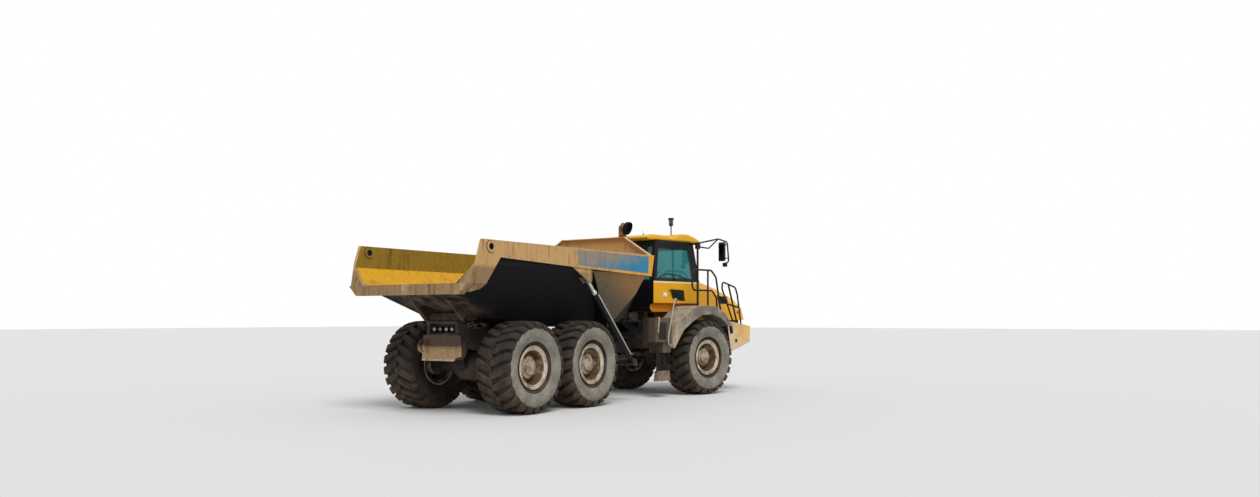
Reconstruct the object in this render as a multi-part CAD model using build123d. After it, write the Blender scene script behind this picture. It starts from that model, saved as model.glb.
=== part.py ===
from build123d import *
import math
import os

# Articulated dump truck, a six-wheel-drive earthmover. Millimetres.
# Built in the machine's own frame: X runs forward from the rear axle, Y to the left,
# Z up from the ground. The front half is built straight ahead and then turned about the
# steering pivot, and the whole machine is moved to the middle of its footprint last.

# Stance
STEER_REST_DEG = 10.7        # front half turned to the right as it stands
MIDDLE_AXLE_X = 1670.0
FRONT_AXLE_X = 5851.0
PIVOT_X = 4491.0             # vertical steering pivot
ROLL_Z = 1000.0              # height of the hitch's lengthways roll axis
RUN_GAP = 0.3                # clearance between pieces that turn or slide on each other
SEAT_GAP = 0.3               # clearance under a piece that rests on another body
SWING_GAP = 8.0              # clearance round a door or lid

# Round forms are made with flats: the largest radius of each step and its number of flats.
FLATS = ((62.0, 6), (190.0, 8), (1000.0, 10))
WHEEL_FLATS = 16
BOWL_FLATS = 8
TUBE_FLATS = 6

# Tyres and rims
TYRE_RADIUS = 800.0
TYRE_WIDTH = 595.0
TRACK = 2284.0
LUG_HEIGHT = 44.0
LUG_COUNT = WHEEL_FLATS
LUG_ROOT_HALF = 66.0         # half length of a lug round the tyre, at the shoulder
LUG_TOE_HALF = 42.0          # the same near the middle of the tread
LUG_LEAD = 34.0              # half of how far the point leads the shoulders
BULGE_RADIUS = 580.0         # where the sidewall stands out furthest
BEAD_RELIEF = 7.0            # from the rim's flange in to the foot of the sidewall
SHOULDER_Y = 62.0            # how far the tread's edge is in from the bulge
BEAD_RADIUS = 318.0
FLANGE_RADIUS = 374.0
RIM_HALF_WIDTH = 262.0
RIM_WALL = 18.0
FLANGE_DEPTH = 30.0          # from a flange's outer face in to the bead seat
DISC_OFFSET = 30.0           # wheel disc outboard of the rim's middle
DISC_THICK = 24.0
HUB_RADIUS = 196.0
HUB_FACE = 150.0             # planet hub cover outboard of the rim's middle
CAP_RADIUS = 128.0
CAP_FACE = 205.0
SPINDLE_RADIUS = 150.0

# Axles and walking beams
AXLE_TUBE_RADIUS = 125.0
AXLE_BOWL_RADIUS = 275.0
AXLE_BOWL_HALF = 210.0
AXLE_NOSE = (330.0, 0.0, 40.0)   # drive flange from the middle of an axle
PROPSHAFT_RADIUS = 52.0
BEAM_INNER_Y = 560.0
BEAM_OUTER_Y = 700.0
BEAM_PIVOT_X = MIDDLE_AXLE_X / 2
BEAM_PIVOT_Z = 1060.0
BEAM_PIVOT_RADIUS = 95.0
BEAM_SADDLE = 26.0           # pad between walking beam and axle tube

# Rear frame
FRAME_OUTER_Y = 430.0
FRAME_WEB = 110.0
FRAME_TOP_Z = 1420.0
FRAME_BOTTOM_Z = 1010.0
FRAME_TAIL_X = -560.0
ROLL_RING_X = 3600.0
ROLL_RING_RADIUS = 235.0
NOSE_BOX_LENGTH = 420.0
TAIL_X = -760.0              # rear face of the tail casting
TIP_X = -600.0               # bed pivot
TIP_Z = 1640.0
TIP_PIN_RADIUS = 48.0
TIP_EAR_RADIUS = 110.0
TIP_EAR_Y = 400.0            # inner face of the bed's hinge ears
TIP_EAR_THICK = 70.0
GUARD_HALF_WIDTH = 460.0
GUARD_THICK = 30.0

# Bed
BED_WALL = 16.0
BED_TOP_Z = 2902.0
BED_HALF_WIDTH = 1463.0
BED_KNEE_Y = 1416.0
BED_KNEE_Z = 2510.0
RAIL_DEPTH = 83.0
TAILGATE_PIVOT = (-1160.0, 2790.0)   # bored boss through each rail, along and up
LIP_X = -1620.0
LIP_TOP_Z = 2190.0
LIP_BOTTOM_Z = 2020.0
LIP_HALF_TOP = 1380.0
LIP_HALF_BOTTOM = 1200.0
FLARE_HALF = 1000.0          # half width at the foot of the flared front side panels
GUARD_TOP_Z = 3300.0         # headboard over the cab end
GUARD_TOP_HALF = 800.0
HEADBOARD_X = 3650.0
HEADBOARD_THICK = 12.0
HEADBOARD_FLANGE = 70.0

# Tipping cylinders, two stages each
HOIST_TOP = (1558.0, 1370.0, 2339.0)
HOIST_FOOT = (3020.0, 1370.0, 800.0)
HOIST_BARREL_RADIUS = 70.0
HOIST_NECK = 160.0           # from the foot pin to the full barrel
HOIST_SLEEVE_RADIUS = 56.0
HOIST_ROD_RADIUS = 42.0
HOIST_BARREL_SHARE = 0.84    # length of the barrel as a share of the closed cylinder
HOIST_EYE_RADIUS = 58.0
HOIST_EYE_WIDTH = 66.0
HOIST_PIN_RADIUS = 30.0
CLEVIS_PLATE = 24.0
CLEVIS_GAP = 18.0            # between an eye and its clevis plates, so that the rod passes too

# Steering cylinders, pin centres measured from the steering pivot
STEER_EAR = (-50.0, 235.0)
STEER_ANCHOR = (650.0, 520.0)
STEER_Z = 880.0
STEER_BARREL_RADIUS = 48.0
STEER_ROD_RADIUS = 26.0
STEER_NECK = 110.0           # from the foot pin to the full barrel
STEER_BARREL_END = 500.0     # from the foot pin to the open end of the barrel
STEER_ROD_LENGTH = 412.0     # from the eye's centre to the rod's end inside the barrel
STEER_EYE_RADIUS = 50.0
STEER_EYE_WIDTH = 56.0
STEER_PIN_RADIUS = 24.0
STEER_PLATE = 22.0

# Hitch
HITCH_BOSS_RADIUS = 112.0
HITCH_BOSS_HALF = 200.0
HITCH_PIN_RADIUS = 60.0
HITCH_LUG_THICK = 60.0
HITCH_LUG_RADIUS = 132.0
HITCH_LUG_GAP = 0.3          # thrust faces of the steering boss

# Front frame
FRONT_BEAM_OUTER_Y = 430.0
FRONT_BEAM_WEB = 100.0
FRONT_BEAM_TOP_Z = 1340.0
FRONT_BEAM_BOTTOM_Z = 990.0
FRONT_BEAM_REAR_X = 4700.0
FRONT_BEAM_FRONT_X = 7460.0
STRUT_RADIUS = 62.0

# Cab
CAB_HALF_WIDTH = 950.0
CAB_REAR_X = 4640.0
CAB_FRONT_X = 6120.0
CAB_FLOOR_Z = 1780.0
CAB_KEEL_HALF = 850.0        # half width of the cab's floor, between the fenders
CAB_STEP_Z = 1925.0          # underside of the cab over the fenders
CAB_WAIST_Z = 2410.0
CAB_TOP_Z = 3295.0
CAB_TOP_REAR_X = 4700.0
CAB_TOP_FRONT_X = 5890.0
CAB_WALL = 50.0
CAB_SILL_Z = 2440.0
WINDOW_TOP_Z = 3120.0
GLASS_THICK = 8.0
DOOR_REAR_X = 4790.0
DOOR_FRONT_X = 5640.0
DOOR_BOTTOM_Z = 1990.0
DOOR_TOP_Z = 3210.0
DOOR_FRAME = 70.0
DOOR_HINGE_Y = 968.0
DOOR_HINGE_Z = (2150.0, 3050.0)
DOOR_PIN_RADIUS = 6.0
DOOR_KNUCKLE = 9.0           # half width of a hinge's knuckle
ROOF_TOP_Z = 3470.0
ROOF_HALF_WIDTH = 925.0

# Bonnet
BONNET_REAR_X = 6180.0
BONNET_FRONT_X = 7945.0
BONNET_BOTTOM_Z = 1600.0
BONNET_WALL = 22.0
BONNET_HINGE_X = 7850.0
BONNET_HINGE_Z = 1575.0
BRACKET_Y = (350.0, 380.0)   # inner and outer face of each bonnet bracket
BONNET_PIN_RADIUS = 12.0
BONNET_EAR_THICK = 20.0
GRILLE_BARS = 6

# Bumper and fenders
BUMPER_REAR_X = 6690.0
BUMPER_CORNER_X = 7540.0
BUMPER_FRONT_X = 8000.0
BUMPER_HALF_WIDTH = 1260.0
BUMPER_NOSE_HALF = 700.0
BUMPER_WALL = 45.0
FENDER_INNER_Y = 860.0
FENDER_OUTER_Y = 1470.0
ARCH = ((46, 925.0), (65, 925.0), (84, 925.0), (103, 925.0), (122, 930.0), (144, 1010.0), (164, 1090.0))
ARCH_LIP = 55.0              # depth of the rolled lip round the arch

# Tubes
RAIL_TUBE_RADIUS = 19.0
LOOP_TUBE_RADIUS = 14.0
POST_TUBE_RADIUS = 24.0
EXHAUST_MOUTH_RADIUS = 140.0


# Shapes that many pieces share

def polygon(points):
    return Face(Wire.make_polygon(points))


def across(outline, y_from, y_to):
    """A side outline of (x, z) points, carried across the machine."""
    face = polygon([(x, y_from, z) for x, z in outline])
    return Solid.extrude(face, Vector(0, y_to - y_from, 0))


def along(outline, x_from, x_to):
    """A cross-section of (y, z) points, carried along the machine."""
    face = polygon([(x_from, y, z) for y, z in outline])
    return Solid.extrude(face, Vector(x_to - x_from, 0, 0))


def upward(outline, z_from, z_to):
    """A plan outline of (x, y) points, carried up."""
    face = polygon([(x, y, z_from) for x, y in outline])
    return Solid.extrude(face, Vector(0, 0, z_to - z_from))


def block(x_from, x_to, y_from, y_to, z_from, z_to):
    return upward([(x_from, y_from), (x_to, y_from), (x_to, y_to), (x_from, y_to)], z_from, z_to)


def flats_for(radius):
    """How many flats a round form of this radius is made with."""
    for limit, count in FLATS:
        if radius <= limit:
            return count
    return FLATS[-1][1]


def ring_face(plane, radius, count, phase=0.5):
    """A regular polygon inside a circle, on a plane, its first corner at a share of a step."""
    turns = [2 * math.pi * (step + phase) / count for step in range(count)]
    return polygon([plane.from_local_coords((radius * math.cos(a), radius * math.sin(a), 0)) for a in turns])


def bar(start, end, radius):
    """A bar of many flats from one centre to another, inside the round form of this radius."""
    start, end = Vector(*start), Vector(*end)
    plane = Plane(origin=start, z_dir=end - start)
    return Solid.extrude(ring_face(plane, radius, flats_for(radius)), end - start)


def bore(start, end, radius):
    """The room round a bar of this radius: the bar's corners point at the middles of its flats."""
    start, end = Vector(*start), Vector(*end)
    plane = Plane(origin=start, z_dir=end - start)
    count = flats_for(radius)
    return Solid.extrude(ring_face(plane, radius / math.cos(math.pi / count), count, 0.0), end - start)


def cross_bar(x, z, y_from, y_to, radius):
    return bar((x, y_from, z), (x, y_to, z), radius)


def cross_bore(x, z, y_from, y_to, radius):
    return bore((x, y_from, z), (x, y_to, z), radius)


def upright(x, y, z_from, z_to, radius):
    return bar((x, y, z_from), (x, y, z_to), radius)


def upright_bore(x, y, z_from, z_to, radius):
    return bore((x, y, z_from), (x, y, z_to), radius)


def tube(points, radius):
    """A bent tube of flats whose corners are mitred."""
    path = Polyline(*points)
    profile = Plane(origin=path @ 0, z_dir=path % 0) * RegularPolygon(radius, TUBE_FLATS)
    return sweep(sections=profile, path=path, transition=Transition.RIGHT)


def turned(stations, count=WHEEL_FLATS):
    """A form turned round the Y axis from (radius, y) stations, with a number of flats."""
    faces = [ring_face(Plane(origin=(0, y, 0), x_dir=(1, 0, 0), z_dir=(0, 1, 0)), radius, count)
             for radius, y in stations]
    return loft(faces, ruled=True)


def both(shape):
    """A piece and its mirror image on the other side."""
    return [shape, mirrored(shape)]


def mirrored(shape):
    return shape.mirror(Plane.XZ)


def union(shapes):
    whole = Part()
    for shape in shapes:
        whole += shape
    return whole


def inset(outline, distance):
    """An open outline moved sideways by a distance, to the left of its run, with mitred corners."""
    sides = []
    for (a0, b0), (a1, b1) in zip(outline, outline[1:]):
        length = math.hypot(a1 - a0, b1 - b0)
        shift_a, shift_b = -(b1 - b0) / length * distance, (a1 - a0) / length * distance
        sides.append(((a0 + shift_a, b0 + shift_b), (a1 - a0, b1 - b0)))
    moved = [sides[0][0]]
    for (point, run), (next_point, next_run) in zip(sides, sides[1:]):
        cross = run[0] * next_run[1] - run[1] * next_run[0]
        gap_a, gap_b = next_point[0] - point[0], next_point[1] - point[1]
        share = (gap_a * next_run[1] - gap_b * next_run[0]) / cross
        moved.append((point[0] + run[0] * share, point[1] + run[1] * share))
    last_point, last_run = sides[-1]
    moved.append((last_point[0] + last_run[0], last_point[1] + last_run[1]))
    return moved


def toward(start, end, distance):
    """The point at a distance from start on the line to end."""
    start, end = Vector(*start), Vector(*end)
    return start + (end - start).normalized() * distance


# Wheels, built round the origin with the outboard side towards +Y

def tyre():
    """Casing with deep lugs, its sidewalls dished between bulge and bead."""
    half = TYRE_WIDTH / 2
    tread = TYRE_RADIUS - LUG_HEIGHT
    bead = BEAD_RADIUS + RUN_GAP
    foot = RIM_HALF_WIDTH - FLANGE_DEPTH - BEAD_RELIEF
    carcass = turned([(BULGE_RADIUS, -half), (tread, SHOULDER_Y - half), (tread, half - SHOULDER_Y),
                      (BULGE_RADIUS, half)])
    dish = turned([(bead, foot), (BULGE_RADIUS, half)])
    carcass -= turned([(bead, -TYRE_WIDTH), (bead, TYRE_WIDTH)])
    for shape in both(dish):
        carcass -= shape
    lugs = [lug().moved(Location((0, 0, 0), (0, 360.0 / LUG_COUNT * step, 0))) for step in range(LUG_COUNT)]
    return carcass.fuse(*lugs)


def lug():
    """One deep chevron block across the top of the tyre, its point leading."""
    top = math.sqrt(TYRE_RADIUS ** 2 - (LUG_ROOT_HALF + LUG_LEAD) ** 2)
    base = TYRE_RADIUS - 4 * LUG_HEIGHT
    faces = []
    for z, outer in ((base, TYRE_WIDTH / 2 - 8.0), (top, TYRE_WIDTH / 2 - 44.0)):
        rear, front = -LUG_ROOT_HALF - LUG_LEAD, LUG_ROOT_HALF - LUG_LEAD
        faces.append(polygon([(rear, outer, z), (front, outer, z), (LUG_TOE_HALF + LUG_LEAD, 0, z),
                              (front, -outer, z), (rear, -outer, z), (LUG_LEAD - LUG_TOE_HALF, 0, z)]))
    return loft(faces, ruled=True)


def rim():
    """Rim with its wheel disc, hub and cap, and the flange that the axle turns in."""
    edge, inner, disc = RIM_HALF_WIDTH, BEAD_RADIUS - RIM_WALL, DISC_OFFSET + 8
    body = turned([(FLANGE_RADIUS, -edge), (BEAD_RADIUS, FLANGE_DEPTH - edge),
                   (BEAD_RADIUS, edge - FLANGE_DEPTH), (FLANGE_RADIUS, edge)])
    body -= turned([(inner, disc), (inner, edge + 1)])
    hub = cross_bar(0, 0, disc - 5, HUB_FACE, HUB_RADIUS) + cross_bar(0, 0, disc, CAP_FACE, CAP_RADIUS)
    well = turned([(inner, -edge - 1), (inner, disc - DISC_THICK)])
    well -= cross_bar(0, 0, -edge - 2, disc, SPINDLE_RADIUS + 30)
    return (body + hub) - well


# Axle name, its place along the machine, and whether it belongs to the front half.
AXLES = [("rear", 0.0, False), ("middle", MIDDLE_AXLE_X, False), ("front", FRONT_AXLE_X, True)]


def wheels():
    """Tyre and rim for each axle end: node name, solid, in the front half or not."""
    pieces = []
    plain_tyre, plain_rim = tyre(), rim()
    for axle, x, in_front in AXLES:
        for side, hand in (("left", 1), ("right", -1)):
            for kind, shape in (("tyre", plain_tyre), ("rim", plain_rim)):
                turned = shape if hand > 0 else mirrored(shape)
                place = Location((x, hand * TRACK / 2, TYRE_RADIUS))
                pieces.append((f"{kind}_{axle}_{side}", [turned.moved(place)], in_front))
    return pieces


def axle_housing(x, bowl_forward):
    """Straight axle tube with its bowl-shaped centre and a flange for each wheel."""
    end = TRACK / 2 - RIM_HALF_WIDTH - RUN_GAP
    z = TYRE_RADIUS
    nose = AXLE_NOSE[0] if bowl_forward else -AXLE_NOSE[0]
    parts = [cross_bar(x, z, -end, end, AXLE_TUBE_RADIUS)]
    parts += both(cross_bar(x, z, end - 60, end, SPINDLE_RADIUS + 24))
    bowl = turned([(AXLE_TUBE_RADIUS, -2 * AXLE_BOWL_HALF), (AXLE_BOWL_RADIUS, -AXLE_BOWL_HALF),
                   (AXLE_BOWL_RADIUS, AXLE_BOWL_HALF), (AXLE_TUBE_RADIUS, 2 * AXLE_BOWL_HALF)],
                  BOWL_FLATS)
    parts.append(bowl.moved(Location((x, 0, z))))
    parts.append(bar((x, 0, z), (x + nose, 0, z + AXLE_NOSE[2]), 115))
    return union(parts)


def rear_axles():
    """The two driven axles under the bed, with the pads that the walking beams sit on."""
    pieces = []
    for name, x in (("rear_axle", 0.0), ("middle_axle", MIDDLE_AXLE_X)):
        housing = axle_housing(x, name == "middle_axle")
        top = TYRE_RADIUS + AXLE_TUBE_RADIUS + BEAM_SADDLE
        pad = block(x - 95, x + 95, BEAM_INNER_Y, BEAM_OUTER_Y, TYRE_RADIUS, top)
        pieces.append((name, [union([housing] + both(pad))], False))
    pieces.append(("propshaft", [propshaft()], False))
    return pieces


def propshaft():
    """Shaft from the nose of the rear frame to the middle axle, with a flange at each end."""
    low = Vector(MIDDLE_AXLE_X, 0, TYRE_RADIUS)
    nose = Vector(*AXLE_NOSE)
    face = low + nose + nose.normalized() * SEAT_GAP
    front_x = ROLL_RING_X - NOSE_BOX_LENGTH - SEAT_GAP
    front = Vector(front_x, 0, ROLL_Z - 30)
    start, end = face + nose.normalized() * 20, front - Vector(20, 0, 0)
    return union([bar(face, face + nose.normalized() * 34, 95), bar(start, end, PROPSHAFT_RADIUS),
                  bar(front - Vector(34, 0, 0), front, 95)])


def walking_beams():
    """The rocking beam on each side that shares the load between rear and middle axle."""
    seat = TYRE_RADIUS + AXLE_TUBE_RADIUS + BEAM_SADDLE
    x_end, x_mid = MIDDLE_AXLE_X, BEAM_PIVOT_X
    half = [(-150, seat), (110, seat), (430, seat - 50), (x_mid - 130, 900), (x_mid, 885)]
    lower = half + [(x_end - x, z) for x, z in reversed(half[:-1])]
    upper = [(x_end + 150, seat + 110), (x_end - 110, seat + 165), (x_mid + 130, 1185),
             (x_mid - 130, 1185), (110, seat + 165), (-150, seat + 110)]
    beam = across(lower + upper, BEAM_INNER_Y, BEAM_OUTER_Y)
    hole = cross_bore(x_mid, BEAM_PIVOT_Z, BEAM_INNER_Y - 1, BEAM_OUTER_Y + 1,
                      BEAM_PIVOT_RADIUS + RUN_GAP)
    return both(beam - hole)


# Rear frame

def rear_frame():
    inner = FRAME_OUTER_Y - FRAME_WEB
    nose_x = ROLL_RING_X
    side = [(FRAME_TAIL_X, 1120), (-200, FRAME_BOTTOM_Z + 60), (500, FRAME_BOTTOM_Z),
            (BEAM_PIVOT_X - 150, 930), (BEAM_PIVOT_X + 150, 930), (1170, FRAME_BOTTOM_Z),
            (2350, FRAME_BOTTOM_Z), (2700, 760), (nose_x - 150, 760), (nose_x - 150, 1270),
            (3000, 1360), (2500, FRAME_TOP_Z), (FRAME_TAIL_X, FRAME_TOP_Z + 40)]
    parts = both(across(side, inner, FRAME_OUTER_Y))
    # Tubes and boxes that tie the two beams together.
    for x, z, radius in ((BEAM_PIVOT_X, BEAM_PIVOT_Z + 90, 85), (2350, 1240, 90)):
        parts.append(cross_bar(x, z, -inner, inner, radius))
    # Nose box that narrows to the roll bearing.
    wide, narrow = inner + 20, ROLL_RING_RADIUS - 20
    rear_x = nose_x - NOSE_BOX_LENGTH
    box_rear = polygon([(rear_x, -wide, 770), (rear_x, wide, 770), (rear_x, wide, 1270),
                        (rear_x, -wide, 1270)])
    box_front = polygon([(nose_x - 60, -narrow, ROLL_Z - 190), (nose_x - 60, narrow, ROLL_Z - 190),
                         (nose_x - 60, narrow, ROLL_Z + 190), (nose_x - 60, -narrow, ROLL_Z + 190)])
    parts.append(loft([box_rear, box_front], ruled=True))
    parts.append(bar((nose_x - 62, 0, ROLL_Z), (nose_x, 0, ROLL_Z), ROLL_RING_RADIUS))
    # Trunnions for the walking beams, with their retaining caps.
    trunnion = cross_bar(BEAM_PIVOT_X, BEAM_PIVOT_Z, inner, BEAM_OUTER_Y + 4, BEAM_PIVOT_RADIUS)
    collar = cross_bar(BEAM_PIVOT_X, BEAM_PIVOT_Z, FRAME_OUTER_Y, BEAM_INNER_Y - SEAT_GAP, 125)
    cap = cross_bar(BEAM_PIVOT_X, BEAM_PIVOT_Z, BEAM_OUTER_Y + SEAT_GAP, BEAM_OUTER_Y + 26, 120)
    parts += both(union([trunnion, collar, cap]))
    parts += hoist_feet()
    parts += tail_casting()
    # Pads on the beams that the lowered bed rests on.
    for x in BED_PADS_X:
        pad = across([(x - 90, FRAME_TOP_Z - 30), (x + 90, FRAME_TOP_Z - 30),
                      (x + 90, bed_underside_z(x + 90) - SEAT_GAP),
                      (x - 90, bed_underside_z(x - 90) - SEAT_GAP)], inner + 10, FRAME_OUTER_Y - 10)
        parts += both(pad)
    return union(parts)


def hoist_feet():
    """Cross tube and forks that carry the feet of the tipping cylinders."""
    x, y, z = HOIST_FOOT
    plate_in = y - HOIST_EYE_WIDTH / 2 - CLEVIS_GAP
    plate_out = y + HOIST_EYE_WIDTH / 2 + CLEVIS_GAP
    foot = [(x - 40, z - 75), (x + 70, z - 95), (x + 115, z - 40), (x + 60, z + 50),
            (x - 20, z + 62), (x - 55, z + 20)]
    solids = [cross_bar(x + 40, z - 20, 0, plate_in - CLEVIS_PLATE + 4, 80)]
    solids.append(across(foot, plate_in - CLEVIS_PLATE, plate_in))
    solids.append(across(foot, plate_out, plate_out + CLEVIS_PLATE))
    solids.append(across([(x + 62, z - 93), (x + 113, z - 42), (x + 100, z - 30), (x + 52, z - 80)],
                         plate_in, plate_out))
    solids.append(bar((x, plate_in - CLEVIS_PLATE, z), (x, plate_out + CLEVIS_PLATE + 10, z), HOIST_PIN_RADIUS))
    return both(union(solids))


def tail_casting():
    """The narrow tail between the rear tyres: bed pivot above, tow recess below."""
    core = across([(FRAME_TAIL_X + 40, 1090), (FRAME_TAIL_X + 40, FRAME_TOP_Z + 30),
                   (TIP_X + 90, TIP_Z - 30), (TAIL_X, TIP_Z - 60), (TAIL_X, 960),
                   (FRAME_TAIL_X - 60, 920)], -FRAME_OUTER_Y + 60, FRAME_OUTER_Y - 60)
    # Recess for the lamps and the tow pin, between the pivot beam and the guard plate.
    recess = block(TAIL_X - 1, TAIL_X + 110, -300, 300, 1375, 1545)
    pivot = cross_bar(TIP_X, TIP_Z, -(FRAME_OUTER_Y - 60), FRAME_OUTER_Y - 60, TIP_EAR_RADIUS - 10)
    reach = TIP_EAR_Y + TIP_EAR_THICK + 18
    return [(core + pivot) - recess, bar((TIP_X, -reach, TIP_Z), (TIP_X, reach, TIP_Z), TIP_PIN_RADIUS)]


def tail_guard():
    """Plate over the rear of the axle, with a cut corner, and the two tow hooks."""
    x = TAIL_X
    half = GUARD_HALF_WIDTH
    outline = [(half, 905), (-half + 170, 905), (-half + 120, 965), (-half - 6, 985),
               (-half + 20, 1350), (half - 30, 1350)]
    plate = along(outline, x - GUARD_THICK, x)
    rib = block(x - GUARD_THICK - 24, x - GUARD_THICK, -half + 40, half - 40, 1130, 1160)
    hook = across([(x, 1290), (x, 1060), (x - 60, 1040), (x - 130, 1090), (x - 140, 1180),
                   (x - 90, 1260)], 0, 34)
    hooks = [hook.moved(Location((0, y, 0))) for y in (half - 36, half - 160)]
    return union([plate, rib] + hooks)


def tail_lamps():
    """Four lamps in the recess above the guard plate."""
    lamps = []
    for y in (-210, -75, 75, 210):
        lamps.append(bar((TAIL_X + 110, y, 1452), (TAIL_X + 30, y, 1452), 52))
    return lamps


# Bed. Sections of the outer skin: place along, half width of floor, floor height.

BED_SECTIONS = [(-1760.0, 1150.0, 2262.0), (-350.0, 760.0, 1640.0), (700.0, 700.0, 1560.0),
                (3760.0, 700.0, 1436.0)]
BED_PADS_X = (900.0, 2350.0)
BED_FRONT = [(2750.0, 1300.0), (2750.0, 1470.0), (3163.0, 1645.0), (3650.0, 3000.0)]


def bed_underside_z(x):
    for (x0, _, z0), (x1, _, z1) in zip(BED_SECTIONS, BED_SECTIONS[1:]):
        if x0 <= x <= x1:
            return z0 + (z1 - z0) * (x - x0) / (x1 - x0)
    return BED_SECTIONS[-1][2]


def bed_section(floor_half, floor_z, wall):
    """Half outline of the trough from its middle to the top of one side, moved in by a wall."""
    outline = [(0.0, floor_z), (floor_half, floor_z), (BED_KNEE_Y, BED_KNEE_Z),
               (BED_KNEE_Y, BED_TOP_Z)]
    return inset(outline, wall)


def bed_hull(wall, top):
    """The trough as a closed form, its skin moved in by a wall and its top at a height."""
    faces = []
    for x, floor_half, floor_z in BED_SECTIONS:
        (_, z0), (y1, z1), (y2, z2), (y3, _) = bed_section(floor_half, floor_z, wall)
        right = [(x, y1, z1), (x, y2, z2), (x, y3, top)]
        left = [(x, -y, z) for x, y, z in reversed(right)]
        faces.append(polygon(right + left))
    trough = loft(faces, ruled=True)
    # Front corner panels, flared out to a wider foot behind a slanted edge.
    (_, _), (y1, z1), (y2, z2), (y3, _) = bed_section(FLARE_HALF, 1466.0, wall)
    wide = along([(y1, z1), (y2, z2), (y3, top), (-y3, top), (-y2, z2), (-y1, z1)], 1200, 3760)
    slant = inset([(1640.0, 2560.0), (2760.0, 1440.0)], wall)
    edge = [slant[1], (4000, slant[1][1]), (4000, slant[0][1]), slant[0]]
    flare = wide & across(edge, -2000, 2000)
    front = inset(BED_FRONT, wall)
    rear = [(LIP_X + 40, LIP_TOP_Z - 4), (-1347.0, BED_TOP_Z)]
    reach = [(front[0][0], 1300)] + front[1:] + [(front[-1][0], 3100)]
    if wall:
        # The inside runs out over the lip, because the bed has no tailgate.
        keep = reach + [(-2000, 3100), (-2000, 1300)]
    else:
        slope = (rear[1][0] - rear[0][0]) / (rear[1][1] - rear[0][1])
        keep = reach + [(rear[1][0] + slope * (3100 - rear[1][1]), 3100), rear[0], (rear[0][0], 1300)]
    return (trough + flare) & across(keep, -2000, 2000)


def bed():
    outer = [bed_hull(0.0, BED_TOP_Z)]
    outer += both(side_rail())
    outer += both(rear_post())
    outer.append(rear_lip())
    outer += both(hoist_bracket())
    outer += both(hinge_ear())
    outer += both(cross_bar(*TAILGATE_PIVOT, BED_HALF_WIDTH - RAIL_DEPTH - 8, BED_HALF_WIDTH + 8, 72))
    shell = union(outer)
    hollow = bed_hull(BED_WALL, BED_TOP_Z + 60)
    for pivot_bore in both(cross_bore(*TAILGATE_PIVOT, BED_HALF_WIDTH - 160, BED_HALF_WIDTH + 9, 36)):
        hollow += pivot_bore
    return shell - hollow


def side_rail():
    """Box rail along the top of a side, deeper towards the cab."""
    outline = [(-1347, BED_TOP_Z), (-1190, 2660), (-923, 2627), (1372, 2544), (3610, 2477),
               (3706, BED_TOP_Z)]
    return across(outline, BED_HALF_WIDTH - RAIL_DEPTH, BED_HALF_WIDTH)


def rear_post():
    """Slanted post from the rail down to the rear lip, drawn in towards its foot."""
    outline = [(-1347, BED_TOP_Z), (-1130, BED_TOP_Z), (-923, 2627), (-1220, 2109),
               (-1400, 2060), (LIP_X + 40, LIP_BOTTOM_Z + 60), (LIP_X + 40, LIP_TOP_Z)]
    section = [(BED_HALF_WIDTH, BED_TOP_Z), (BED_HALF_WIDTH, 2600), (LIP_HALF_TOP, LIP_TOP_Z),
               (LIP_HALF_BOTTOM, LIP_BOTTOM_Z), (LIP_HALF_BOTTOM - 150, LIP_BOTTOM_Z),
               (1150, 2200), (BED_KNEE_Y - 30, BED_KNEE_Z), (BED_KNEE_Y - 30, BED_TOP_Z)]
    return across(outline, 900, 1600) & along(section, -1800, -800)


def rear_lip():
    """Box beam under the rear edge of the floor, with its ends cut back below."""
    section = [(LIP_HALF_TOP, LIP_TOP_Z), (LIP_HALF_BOTTOM, LIP_BOTTOM_Z),
               (-LIP_HALF_BOTTOM, LIP_BOTTOM_Z), (-LIP_HALF_TOP, LIP_TOP_Z)]
    return along(section, LIP_X, LIP_X + 130)


def hoist_bracket():
    """Fork under the rail that the head of a tipping cylinder is pinned in."""
    x, y, z = HOIST_TOP
    plate_in = y - HOIST_EYE_WIDTH / 2 - CLEVIS_GAP
    plate_out = y + HOIST_EYE_WIDTH / 2 + CLEVIS_GAP
    outline = [(x - 560, 2600), (x - 520, 2560), (x - 75, z - 20), (x - 40, z - 58), (x + 30, z - 58),
               (x + 62, z + 10), (x + 70, 2600)]
    solids = []
    for y_from, y_to in ((plate_in - CLEVIS_PLATE, plate_in), (plate_out, plate_out + CLEVIS_PLATE)):
        solids.append(across(outline, y_from, y_to))
    cap = cross_bar(x, z, plate_out + CLEVIS_PLATE, plate_out + CLEVIS_PLATE + 8, HOIST_PIN_RADIUS + 14)
    top = block(x - 560, x + 70, plate_in - CLEVIS_PLATE, plate_out + CLEVIS_PLATE, 2556, 2625)
    return union(solids + [cap, top])


def hinge_ear():
    """Ear under the tail of the bed that turns on the frame's pivot pin."""
    y_in, y_out = TIP_EAR_Y, TIP_EAR_Y + TIP_EAR_THICK
    top_rear, top_front = bed_underside_z(-1150) + 6, bed_underside_z(-100) + 6
    outline = [(-1150, top_rear), (TIP_X - 130, TIP_Z - 40), (TIP_X - 60, TIP_Z - 95),
               (TIP_X + 60, TIP_Z - 95), (TIP_X + 130, TIP_Z - 30), (-100, top_front),
               (-350, bed_underside_z(-350) + 6)]
    hole = cross_bore(TIP_X, TIP_Z, y_in - 1, y_out + 1, TIP_PIN_RADIUS + RUN_GAP)
    return across(outline, y_in, y_out) - hole


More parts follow.
